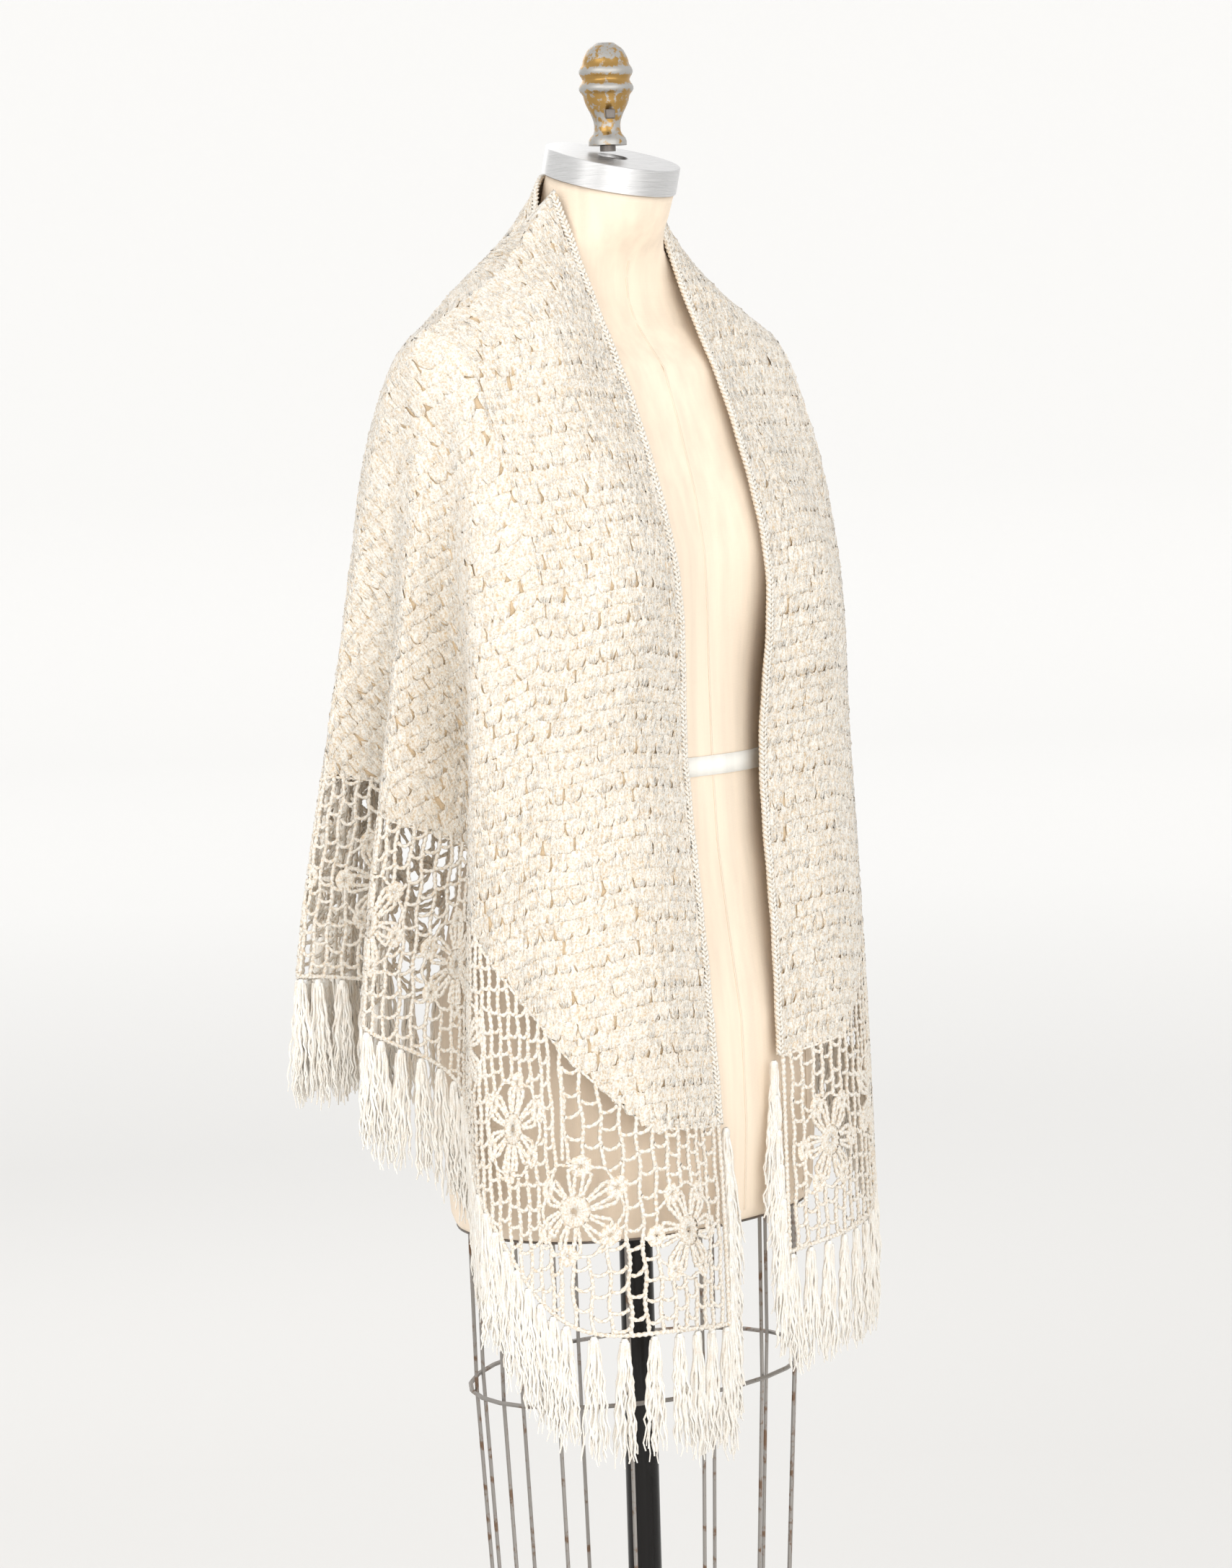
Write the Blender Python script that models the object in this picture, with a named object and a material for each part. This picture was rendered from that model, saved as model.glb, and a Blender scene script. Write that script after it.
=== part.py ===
"""Crocheted lace shawl worn over a limbless dress form on its stand.

Metres, +Z up.  The origin is on the floor under the pole, the form faces -Y
and its own right side is -X.  Heights in the tables are over the waist.

The shawl is one wide cloth with a level back hem, slanted side hems and a
blunt square end at each front.  Each half of it is laid out flat with x along
the top edge from the back neck and y square to it.  drape() carries a flat
point onto the form: front and back hang from the shoulder ridge, and the
quarter turn of cloth at the shoulder tip falls in folds over the side.  Body,
edging, lace border and fringe all come from it.
"""
import math

import bpy
import bmesh
import numpy as np
from mathutils import Matrix, Vector

# Driving sizes of the form and its stand
WAIST = 1.04
BASE_RADIUS = 0.205
BASE_RIM = 0.016
BASE_HUB = 0.060
POLE_RADIUS = 0.0135
TORSO_BOTTOM = -0.36
NECK_LEAN = math.radians(15.0)
CAP_RADIUS = 0.0535
CAP_HEIGHT = 0.021
CAP_CENTRE = Vector((0.0, -0.004, WAIST + 0.4556))
STEM_RADIUS = 0.0062
FINIAL_FOOT = WAIST + 0.4848
TAPE_HEIGHT = 0.015
TAPE_THICKNESS = 0.0012
PLATE_THICKNESS = 0.005
CAGE_WIRES = 14
WIRE_RADIUS = 0.0016
HOOP_RADIUS = 0.0019
HOOP_SIDES = 28
CAGE_HALF_WIDTH = 0.163
CAGE_HALF_DEPTH = 0.114
CAGE_HOOP = WAIST - 0.490
CAGE_FOOT = WAIST - 0.720
CAGE_FOOT_SCALE = 0.90
SEAM = 0.0003

# Driving sizes of the shawl, laid flat
BODY_SIDE = {-1: 0.838, 1: 0.792}
BODY_DEPTH = 0.505
TIP_WIDTH = 0.090
HEM_CORNER = 0.06
HEM_SLANT = math.radians(39.5)
BODY_ROWS = 13
ROW_POWER = 1.25
BODY_WALL = 0.0022
EDGING_WIDTH = 0.007
EDGING_WALL = 0.0034
BORDER_WIDTH = 0.159
BORDER_WALL = 0.0022
HEM_GAP = 0.0016
REPEATS = 11
HOLES_A_REPEAT = 4
STRAND = 0.0048
FRINGE_STRIP = 0.004
FRINGE_GAP = 0.0020
FRINGE_WALL = 0.003
TASSEL_DROP = 0.098
TASSEL_WIDTH = 0.013
FRONT_TASSELS = 4
FRONT_TASSEL_STEP = 0.0064
NECK_QUARTER = 0.09
SHOULDER_X = 0.185
SHOULDER_Y = 0.165
FORM_CLEARANCE = 0.0045

COLOURS = {
    # name: base colour, roughness, metallic
    "cream_crochet": ((0.86, 0.80, 0.68), 0.75, 0.0),
    "silk_fringe": ((0.91, 0.87, 0.79), 0.60, 0.0),
    "canvas": ((0.80, 0.70, 0.54), 0.85, 0.0),
    "cotton_tape": ((0.88, 0.84, 0.74), 0.80, 0.0),
    "brown_board": ((0.10, 0.07, 0.05), 0.60, 0.0),
    "brushed_aluminium": ((0.77, 0.77, 0.78), 0.35, 1.0),
    "worn_gold": ((0.55, 0.44, 0.27), 0.42, 1.0),
    "steel": ((0.42, 0.40, 0.38), 0.40, 1.0),
    "rusty_wire": ((0.33, 0.28, 0.24), 0.50, 1.0),
    "black_enamel": ((0.015, 0.015, 0.015), 0.20, 0.0),
}

# Torso rings: height, half width, depth to the front, depth to the back, middle y
TORSO_RINGS = (
    (-0.360, 0.1610, 0.111, 0.111, 0.0),
    (-0.352, 0.1660, 0.116, 0.116, 0.0),
    (-0.280, 0.1710, 0.120, 0.123, 0.0),
    (-0.200, 0.1720, 0.118, 0.128, 0.0),
    (-0.120, 0.1570, 0.106, 0.116, 0.0),
    (-0.060, 0.1360, 0.098, 0.099, 0.0),
    (0.000, 0.1250, 0.095, 0.090, 0.0),
    (0.060, 0.1290, 0.094, 0.092, 0.0),
    (0.115, 0.1390, 0.093, 0.098, 0.0),
    (0.165, 0.1500, 0.091, 0.105, 0.0),
    (0.215, 0.1660, 0.083, 0.110, 0.0),
    (0.265, 0.1800, 0.070, 0.108, 0.0),
    (0.310, 0.1860, 0.060, 0.090, 0.004),
    (0.334, 0.1820, 0.047, 0.070, 0.010),
    (0.346, 0.1690, 0.040, 0.060, 0.012),
    (0.364, 0.1360, 0.035, 0.052, 0.014),
    (0.383, 0.0990, 0.034, 0.048, 0.015),
    (0.400, 0.0690, 0.039, 0.045, 0.014),
    (0.415, 0.0543, 0.0470, 0.044, 0.010),
    (0.435, 0.0493, 0.0510, 0.042, 0.003),
    (0.455, 0.0493, 0.0490, 0.0445, -0.004),
)
TORSO_SIDES = 32
TORSO_POWER = 2.2
BUST = {"x": 0.078, "z": 0.165, "rise": 0.020, "spread_x": 0.036, "spread_z": 0.050}
ARMHOLE = {"low": 0.195, "high": 0.340, "half_width": 0.1765}
PLATE = {"y": 0.022, "z": 0.272, "half_depth": 0.041, "half_height": 0.066}

# Finial turned about the stem: radius, height over its foot
FINIAL_PROFILE = (
    (0.0150, 0.0000), (0.0150, 0.0045), (0.0105, 0.0100), (0.0103, 0.0175),
    (0.0125, 0.0240), (0.0170, 0.0330), (0.0186, 0.0400), (0.0215, 0.0420),
    (0.0215, 0.0465), (0.0186, 0.0490), (0.0186, 0.0525), (0.0212, 0.0550),
    (0.0212, 0.0595), (0.0186, 0.0620), (0.0178, 0.0670), (0.0140, 0.0745),
    (0.0070, 0.0795),
)

# Shoulder ridge that carries the cloth: share of the way, x outward, y, height
RIDGE = (
    (0.00, 0.0600, 0.004, 0.446),
    (0.18, 0.0715, 0.008, 0.4145),
    (0.45, 0.1080, 0.012, 0.3925),
    (0.75, 0.1580, 0.014, 0.3675),
    (1.00, 0.1935, 0.014, 0.3430),
)

HANG_HEIGHTS = (0.27, 0.16, 0.0, -0.15, -0.30, -0.62)

# Fall lines of each half.  place: flat y of a front line, degrees round the
# shoulder tip, or flat x of a back line.  shoulder: x, y, height just past the
# ridge.  hang: x outward and y at each of HANG_HEIGHTS.
RIGHT_FALLS = (
    # name, place, shoulder, hang
    ("front_edge", 0.000, (0.061, -0.037, 0.362),
     ((0.061, -0.079), (0.063, -0.1145), (0.047, -0.106), (0.051, -0.124), (0.045, -0.131), (0.045, -0.136))),
    ("front_bust", 0.080, (0.113, -0.030, 0.362),
     ((0.112, -0.074), (0.113, -0.116), (0.110, -0.109), (0.113, -0.124), (0.111, -0.133), (0.111, -0.138))),
    ("front_side", 0.165, (0.188, -0.010, 0.332),
     ((0.183, -0.040), (0.176, -0.076), (0.178, -0.072), (0.186, -0.082), (0.188, -0.092), (0.188, -0.096))),
    ("fold_one", 10.0, (0.197, 0.000, 0.330),
     ((0.199, -0.028), (0.203, -0.038), (0.210, -0.038), (0.224, -0.046), (0.228, -0.052), (0.228, -0.054))),
    ("tuck_one", 21.0, (0.201, 0.008, 0.328),
     ((0.199, -0.008), (0.186, 0.002), (0.160, 0.012), (0.178, 0.012), (0.190, 0.010), (0.192, 0.010))),
    ("side_one", 34.0, (0.204, 0.015, 0.327),
     ((0.207, 0.012), (0.214, 0.022), (0.225, 0.043), (0.243, 0.052), (0.250, 0.056), (0.251, 0.058))),
    ("tuck_two", 45.0, (0.204, 0.022, 0.327),
     ((0.204, 0.032), (0.199, 0.050), (0.184, 0.074), (0.190, 0.084), (0.195, 0.088), (0.196, 0.090))),
    ("side_two", 57.0, (0.201, 0.030, 0.328),
     ((0.203, 0.056), (0.211, 0.082), (0.228, 0.107), (0.247, 0.122), (0.253, 0.127), (0.254, 0.130))),
    ("tuck_three", 69.0, (0.196, 0.036, 0.329),
     ((0.193, 0.072), (0.186, 0.096), (0.174, 0.118), (0.182, 0.129), (0.186, 0.135), (0.188, 0.137))),
    ("back_lobe", 80.0, (0.188, 0.040, 0.333),
     ((0.178, 0.090), (0.177, 0.120), (0.178, 0.151), (0.188, 0.168), (0.191, 0.176), (0.191, 0.180))),
    ("back_side", 0.185, (0.178, 0.042, 0.340),
     ((0.159, 0.101), (0.152, 0.126), (0.139, 0.146), (0.141, 0.158), (0.142, 0.165), (0.143, 0.170))),
    ("back_bulge", 0.120, (0.104, 0.050, 0.386),
     ((0.106, 0.116), (0.108, 0.136), (0.106, 0.150), (0.110, 0.165), (0.112, 0.174), (0.113, 0.182))),
    ("back_hollow", 0.060, (0.058, 0.060, 0.402),
     ((0.059, 0.118), (0.057, 0.130), (0.053, 0.130), (0.056, 0.144), (0.056, 0.152), (0.056, 0.158))),
    ("back_middle", 0.000, (0.000, 0.071, 0.404),
     ((0.000, 0.119), (0.000, 0.136), (0.000, 0.141), (0.000, 0.153), (0.000, 0.161), (0.000, 0.168))),
)
LEFT_FALLS = (
    # name, place, shoulder, hang
    ("front_edge", 0.000, (0.059, -0.034, 0.362),
     ((0.058, -0.078), (0.056, -0.1120), (0.050, -0.107), (0.042, -0.122), (0.034, -0.131), (0.033, -0.136))),
    ("front_bust", 0.080, (0.113, -0.026, 0.362),
     ((0.112, -0.068), (0.117, -0.115), (0.121, -0.112), (0.110, -0.126), (0.103, -0.134), (0.102, -0.139))),
    ("front_side", 0.165, (0.188, -0.010, 0.332),
     ((0.185, -0.044), (0.185, -0.074), (0.188, -0.080), (0.186, -0.090), (0.184, -0.097), (0.184, -0.101))),
    ("fold_one", 11.0, (0.197, 0.000, 0.330),
     ((0.200, -0.030), (0.204, -0.046), (0.208, -0.054), (0.212, -0.056), (0.214, -0.060), (0.214, -0.062))),
    ("tuck_one", 24.0, (0.201, 0.008, 0.328),
     ((0.199, -0.008), (0.188, -0.002), (0.170, -0.004), (0.184, -0.008), (0.188, -0.010), (0.190, -0.010))),
    ("side_one", 36.0, (0.204, 0.015, 0.327),
     ((0.207, 0.012), (0.213, 0.022), (0.222, 0.030), (0.236, 0.034), (0.246, 0.034), (0.248, 0.034))),
    ("tuck_two", 49.0, (0.203, 0.024, 0.327),
     ((0.203, 0.036), (0.196, 0.052), (0.178, 0.066), (0.186, 0.072), (0.192, 0.074), (0.194, 0.074))),
    ("side_two", 60.0, (0.200, 0.032, 0.328),
     ((0.202, 0.060), (0.210, 0.086), (0.226, 0.104), (0.242, 0.114), (0.250, 0.118), (0.252, 0.120))),
    ("tuck_three", 71.0, (0.195, 0.037, 0.329),
     ((0.192, 0.074), (0.184, 0.098), (0.172, 0.118), (0.180, 0.128), (0.184, 0.132), (0.186, 0.134))),
    ("back_lobe", 81.0, (0.188, 0.040, 0.333),
     ((0.178, 0.092), (0.176, 0.122), (0.174, 0.150), (0.183, 0.168), (0.187, 0.176), (0.188, 0.180))),
    ("back_side", 0.185, (0.178, 0.042, 0.340),
     ((0.158, 0.103), (0.150, 0.128), (0.136, 0.148), (0.136, 0.160), (0.137, 0.168), (0.138, 0.173))),
    ("back_bulge", 0.120, (0.104, 0.050, 0.386),
     ((0.104, 0.114), (0.104, 0.132), (0.100, 0.138), (0.101, 0.150), (0.102, 0.158), (0.103, 0.165))),
    ("back_hollow", 0.060, (0.058, 0.060, 0.402),
     ((0.058, 0.119), (0.055, 0.138), (0.052, 0.148), (0.054, 0.162), (0.055, 0.171), (0.056, 0.178))),
    ("back_middle", 0.000, (0.000, 0.071, 0.404),
     ((0.000, 0.119), (0.000, 0.136), (0.000, 0.141), (0.000, 0.153), (0.000, 0.161), (0.000, 0.168))),
)
FAN_FALLS = ("fold_one", "tuck_one", "side_one", "tuck_two", "side_two", "tuck_three", "back_lobe")
FAN_SCALE = 0.40
CREST_HALF = 2.6
LAST_TURN = 87.0
FALL_STEP = 0.005
FALL_STEPS = 230


def material(name):
    """Return the named finish as a Principled material."""
    found = bpy.data.materials.get(name)
    if found:
        return found
    colour, roughness, metallic = COLOURS[name]
    made = bpy.data.materials.new(name)
    made.use_nodes = True
    shader = made.node_tree.nodes["Principled BSDF"]
    shader.inputs["Base Color"].default_value = (*colour, 1.0)
    shader.inputs["Roughness"].default_value = roughness
    shader.inputs["Metallic"].default_value = metallic
    return made


def add_piece(name, points, faces, finish):
    """Make one named mesh object from points and faces."""
    mesh = bpy.data.meshes.new(name)
    mesh.from_pydata([tuple(float(c) for c in p) for p in points], [], faces)
    mesh.validate()
    mesh.shade_smooth()
    mesh.set_sharp_from_angle(angle=math.radians(40.0))
    mesh.materials.append(material(finish))
    piece = bpy.data.objects.new(name, mesh)
    bpy.context.scene.collection.objects.link(piece)
    return piece


def loft(rings):
    """Faces and points of a closed body through rings with the same count."""
    count = len(rings[0])
    points = [p for ring in rings for p in ring]
    faces = [tuple(range(count))[::-1]]
    for level in range(len(rings) - 1):
        low, high = level * count, (level + 1) * count
        for i in range(count):
            j = (i + 1) % count
            faces.append((low + i, low + j, high + j, high + i))
    top = (len(rings) - 1) * count
    faces.append(tuple(range(top, top + count)))
    return points, faces


def turned(name, profile, centre, finish, sides=24, lean=0.0):
    """A solid turned about a vertical or leaning axis: radius, height rows."""
    tilt = Matrix.Rotation(lean, 3, "X")
    rings = []
    for radius, height in profile:
        ring = []
        for i in range(sides):
            angle = 2.0 * math.pi * i / sides
            spot = Vector((radius * math.cos(angle), radius * math.sin(angle), height))
            ring.append(Vector(centre) + tilt @ spot)
        rings.append(ring)
    return add_piece(name, *loft(rings), finish)


def swept(name, path, radius, finish, sides=6, closed=False):
    """A round rod along a path, or round a closed loop."""
    count = len(path)
    points, faces = [], []
    for i, spot in enumerate(path):
        ahead = path[(i + 1) % count] if closed or i < count - 1 else path[i]
        behind = path[i - 1] if closed or i > 0 else path[i]
        along = (Vector(ahead) - Vector(behind)).normalized()
        across = along.orthogonal() if abs(along.z) > 0.5 else along.cross(Vector((0, 0, 1)))
        if abs(along.z) > 0.5:
            across = Vector((1.0, 0.0, 0.0)).cross(along)
        across.normalize()
        other = along.cross(across)
        for k in range(sides):
            angle = 2.0 * math.pi * k / sides
            points.append(Vector(spot) + radius * (math.cos(angle) * across + math.sin(angle) * other))
    for i in range(count if closed else count - 1):
        a, b = i * sides, ((i + 1) % count) * sides
        for k in range(sides):
            m = (k + 1) % sides
            faces.append((a + k, a + m, b + m, b + k))
    if not closed:
        faces.append(tuple(range(sides))[::-1])
        faces.append(tuple(range((count - 1) * sides, count * sides)))
    return add_piece(name, points, faces, finish)


def torso_section(height):
    """Half width, front depth, back depth and middle y at a height over the waist."""
    table = np.array(TORSO_RINGS)
    return [np.interp(height, table[:, 0], table[:, k]) for k in range(1, 5)]


def bust_rise(x, height):
    """How far the bust stands out of the plain front."""
    side = (np.abs(x) - BUST["x"]) / BUST["spread_x"]
    level = (height - BUST["z"]) / BUST["spread_z"]
    return BUST["rise"] * np.exp(-0.5 * side ** 2 - 0.5 * level ** 2)


def torso_point(height, angle):
    """A point of the torso's surface; angle 0 faces the front, -Y."""
    half, front, back, middle = torso_section(height)
    turn, face = math.sin(angle), -math.cos(angle)
    x = half * math.copysign(abs(turn) ** (2.0 / TORSO_POWER), turn)
    depth = front if face < 0 else back
    y = middle + depth * math.copysign(abs(face) ** (2.0 / TORSO_POWER), face)
    if face < 0:
        y -= float(bust_rise(x, height)) * abs(face)
    if ARMHOLE["low"] < height < ARMHOLE["high"]:
        x = max(-ARMHOLE["half_width"], min(ARMHOLE["half_width"], x))
    return x, y


def torso_ring(height, grow=0.0, sides=TORSO_SIDES):
    """One ring of the torso, or of a band that stands out of it by grow."""
    ring = []
    for i in range(sides):
        angle = 2.0 * math.pi * i / sides
        x, y = torso_point(height, angle)
        length = math.hypot(x, y)
        ring.append(Vector((x * (1 + grow / length), y * (1 + grow / length), WAIST + height)))
    return ring


def build_torso():
    """Canvas torso with its neck cut square to the leaning neck cap."""
    heights = [row[0] for row in TORSO_RINGS]
    rings = [torso_ring(height) for height in heights]
    slope = math.tan(NECK_LEAN)
    for back_from_top, share in ((1, 1.0), (2, 0.6), (3, 0.25)):
        for spot in rings[-back_from_top]:
            spot.z += share * slope * (spot.y - CAP_CENTRE.y)
    points, faces = loft(rings)
    add_piece("torso", points, faces, "canvas")


def build_waist_tape():
    """Cotton tape round the waist, just off the canvas."""
    low, high = -0.5 * TAPE_HEIGHT, 0.5 * TAPE_HEIGHT
    gap = 3 * SEAM
    rings = [torso_ring(low, gap), torso_ring(low, gap + TAPE_THICKNESS),
             torso_ring(high, gap + TAPE_THICKNESS), torso_ring(high, gap)]
    count = TORSO_SIDES
    points = [p for ring in rings for p in ring]
    faces = []
    for r in range(4):
        a, b = r * count, ((r + 1) % 4) * count
        for i in range(count):
            j = (i + 1) % count
            faces.append((a + i, a + j, b + j, b + i))
    add_piece("waist_tape", points, faces, "cotton_tape")


def build_arm_plate(side, name):
    """Oval board that closes an armhole."""
    rings = []
    flat = ARMHOLE["half_width"] + SEAM
    for out, scale in ((0.0, 1.0), (0.6, 1.0), (1.0, 0.90)):
        ring = []
        for i in range(20):
            angle = 2.0 * math.pi * i / 20
            y = PLATE["y"] + scale * PLATE["half_depth"] * math.cos(angle)
            z = WAIST + PLATE["z"] + scale * PLATE["half_height"] * math.sin(angle)
            ring.append(Vector((side * (flat + out * PLATE_THICKNESS), y, z)))
        rings.append(ring if side > 0 else ring[::-1])
    add_piece(name, *loft(rings), "brown_board")


def build_neck_cap():
    """Turned aluminium cap, leaning forward with the neck."""
    edge = 0.0012
    top = CAP_HEIGHT
    profile = ((CAP_RADIUS - edge, 0.0), (CAP_RADIUS, edge), (CAP_RADIUS, top - edge),
               (CAP_RADIUS - edge, top), (0.030, top + 0.0006))
    # A positive turn about X carries the top towards the front, -Y
    turned("neck_cap", profile, CAP_CENTRE, "brushed_aluminium", 32, NECK_LEAN)


def build_finial():
    """Stem, turned finial and its square set screw."""
    stem_foot = CAP_CENTRE.z + CAP_HEIGHT + 0.0036
    height = FINIAL_FOOT - SEAM - stem_foot
    turned("finial_stem", ((STEM_RADIUS, 0.0), (STEM_RADIUS, height)),
           (0.0, CAP_CENTRE.y, stem_foot), "steel", 12)
    turned("finial", FINIAL_PROFILE, (0.0, CAP_CENTRE.y, FINIAL_FOOT), "worn_gold", 16)
    half, reach = 0.0036, 0.0070
    turn = Matrix.Rotation(math.radians(-40.0), 3, "Z")
    foot = 0.0146
    rings = []
    for out in (foot, foot + reach):
        ring = [Vector((c, -out, s)) for c, s in ((-half, -half), (half, -half), (half, half), (-half, half))]
        rings.append([turn @ p + Vector((0.0, CAP_CENTRE.y, FINIAL_FOOT + 0.0235)) for p in ring])
    points, faces = loft(rings)
    add_piece("set_screw", points, faces, "steel")


def build_stand():
    """Cast base with a raised hub, and the pole up into the torso."""
    profile = ((BASE_RADIUS - 0.002, 0.0), (BASE_RADIUS, 0.002), (BASE_RADIUS, BASE_RIM - 0.003),
               (BASE_RADIUS - 0.004, BASE_RIM), (0.120, 0.024), (0.050, 0.034), (0.030, 0.048),
               (0.024, BASE_HUB))
    turned("base", profile, (0, 0, 0), "black_enamel", 32)
    top = WAIST + TORSO_BOTTOM - SEAM
    turned("pole", ((POLE_RADIUS, BASE_HUB + SEAM), (POLE_RADIUS, top)), (0, 0, 0), "black_enamel", 20)


def cage_scale(z):
    """How much narrower the cage is at a height than under the torso."""
    if z >= CAGE_HOOP:
        return 1.0 - 0.012 * (WAIST + TORSO_BOTTOM - z) / (WAIST + TORSO_BOTTOM - CAGE_HOOP)
    share = (CAGE_HOOP - z) / (CAGE_HOOP - CAGE_FOOT)
    return 0.988 + (CAGE_FOOT_SCALE - 0.988) * share


def cage_point(angle, z, grow=0.0):
    """A point on the cage, grow outside the wires' line."""
    scale = cage_scale(z)
    x = (CAGE_HALF_WIDTH * scale + grow) * math.sin(angle)
    y = -(CAGE_HALF_DEPTH * scale + grow) * math.cos(angle)
    return Vector((x, y, z))


def build_cage():
    """Upright wires under the torso with a hoop outside them and one at the foot."""
    top = WAIST + TORSO_BOTTOM - SEAM
    step = 2.0 * math.pi / CAGE_WIRES
    inset = 0.006
    for k in range(CAGE_WIRES):
        angle = step * (k + 0.42)
        path = [cage_point(angle, z, -inset) for z in (top, CAGE_HOOP, CAGE_FOOT)]
        swept(f"cage_wire_{k + 1:02d}", path, WIRE_RADIUS, "rusty_wire", 6)
    spread = WIRE_RADIUS + HOOP_RADIUS + 2 * SEAM - inset
    for name, z in (("cage_hoop", CAGE_HOOP), ("cage_foot_hoop", CAGE_FOOT + 0.004)):
        loop = [cage_point(step * (0.42 + i * CAGE_WIRES / HOOP_SIDES), z, spread) for i in range(HOOP_SIDES)]
        swept(name, loop, HOOP_RADIUS, "rusty_wire", 5, closed=True)


def smooth_line(knots, values, places):
    """Read a smooth curve through values at knots (rows) at the given places."""
    knots = np.asarray(knots, float)
    values = np.asarray(values, float)
    places = np.asarray(places, float)
    gaps = np.diff(knots)
    slopes = np.diff(values, axis=0) / gaps.reshape((-1,) + (1,) * (values.ndim - 1))
    ends = np.empty_like(values)
    ends[0], ends[-1] = slopes[0], slopes[-1]
    weight = gaps[1:] / (gaps[1:] + gaps[:-1])
    weight = weight.reshape((-1,) + (1,) * (values.ndim - 1))
    ends[1:-1] = weight * slopes[:-1] + (1.0 - weight) * slopes[1:]
    index = np.clip(np.searchsorted(knots, places) - 1, 0, len(gaps) - 1)
    return index, gaps, ends, (places - knots[index]) / gaps[index]


def hermite(start, end, start_slope, end_slope, gap, share):
    """Cubic between two values, running on straight outside 0 to 1."""
    inside = np.clip(share, 0.0, 1.0)
    t, t2, t3 = inside, inside ** 2, inside ** 3
    value = ((2 * t3 - 3 * t2 + 1) * start + (t3 - 2 * t2 + t) * gap * start_slope
             + (3 * t2 - 2 * t3) * end + (t3 - t2) * gap * end_slope)
    return value + gap * (np.minimum(share, 0.0) * start_slope + np.maximum(share - 1.0, 0.0) * end_slope)


def read_curve(knots, values, places):
    """Points of the smooth curve through rows of values."""
    index, gaps, ends, share = smooth_line(knots, values, places)
    values = np.asarray(values, float)
    gap, share = gaps[index][:, None], share[:, None]
    return hermite(values[index], values[index + 1], ends[index], ends[index + 1], gap, share)


def ridge_flat_x(y):
    """Flat x of the ridge line at flat y."""
    return NECK_QUARTER + (SHOULDER_X - NECK_QUARTER) * np.asarray(y) / SHOULDER_Y


def ridge_spot(share):
    """Place of the ridge in space at a share of its length."""
    table = np.array(RIDGE)
    return read_curve(table[:, 0], table[:, 1:4], np.atleast_1d(share))[0]


def fall_start(name, place):
    """Where a fall line leaves the ridge, the shoulder tip or the neck."""
    if name.startswith("front"):
        return ridge_spot(place / SHOULDER_Y)
    if name in FAN_FALLS:
        return ridge_spot(1.0)
    if place >= NECK_QUARTER:
        return ridge_spot((place - NECK_QUARTER) / (SHOULDER_X - NECK_QUARTER))
    turn = 0.5 * math.pi * place / NECK_QUARTER
    neck, hug = ridge_spot(0.0), 1.0 - 0.06 * math.sin(2.0 * turn) ** 2
    y = 0.0565 - (0.0565 - neck[1]) * (1.0 - math.cos(turn))
    return np.array([neck[0] * math.sin(turn) * hug, y * hug,
                     neck[2] + 0.012 * (1.0 - (turn / (0.5 * math.pi)) ** 2)])


def fall_order(name, place):
    """Where a fall line stands in the count from front edge to back middle."""
    if name.startswith("front"):
        return place
    if name.startswith("back_") and name != "back_lobe":
        return SHOULDER_Y + FAN_SCALE * 0.5 * math.pi + SHOULDER_X - place
    return SHOULDER_Y + FAN_SCALE * math.radians(place)


def fall_table(rows):
    """Order and evenly stepped points of every fall line of one half."""
    orders, lines = [], []
    drops = np.arange(FALL_STEPS) * FALL_STEP
    for name, place, shoulder, hang in rows:
        knots = [fall_start(name, place), np.array(shoulder)]
        knots += [np.array([x, y, z]) for (x, y), z in zip(hang, HANG_HEIGHTS)]
        knots.append(knots[-1] + np.array([0.0, 0.0, -0.5]))
        knots = np.array(knots)
        steps = np.linalg.norm(np.diff(knots, axis=0), axis=1)
        marks = np.concatenate([[0.0], np.cumsum(steps)])
        fine = np.linspace(0.0, marks[-1], 600)
        curve = read_curve(marks, knots, fine)
        run = np.concatenate([[0.0], np.cumsum(np.linalg.norm(np.diff(curve, axis=0), axis=1))])
        lines.append(np.stack([np.interp(drops, run, curve[:, k]) for k in range(3)], axis=1))
        orders.append(fall_order(name, place))
    return np.array(orders), np.array(lines)


FALLS = {-1: fall_table(RIGHT_FALLS), 1: fall_table(LEFT_FALLS)}


def clear_of_form(points, clearance):
    """Move points that lie in the torso's side or front out along the ground."""
    height = points[:, 2]
    level = np.maximum(height, TORSO_BOTTOM + 0.01)
    half, front, back, middle = torso_section(level)
    x, y = points[:, 0], points[:, 1] - middle
    depth = np.where(y < 0, front + bust_rise(x, level), back) + clearance
    size = (np.abs(x) / (half + clearance)) ** TORSO_POWER + (np.abs(y) / depth) ** TORSO_POWER
    scale = np.where((size < 1.0) & (height < 0.33), np.maximum(size, 1e-6) ** (-1.0 / TORSO_POWER), 1.0)
    out = points.copy()
    out[:, 0] = x * scale
    out[:, 1] = y * scale + middle
    return out


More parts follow.
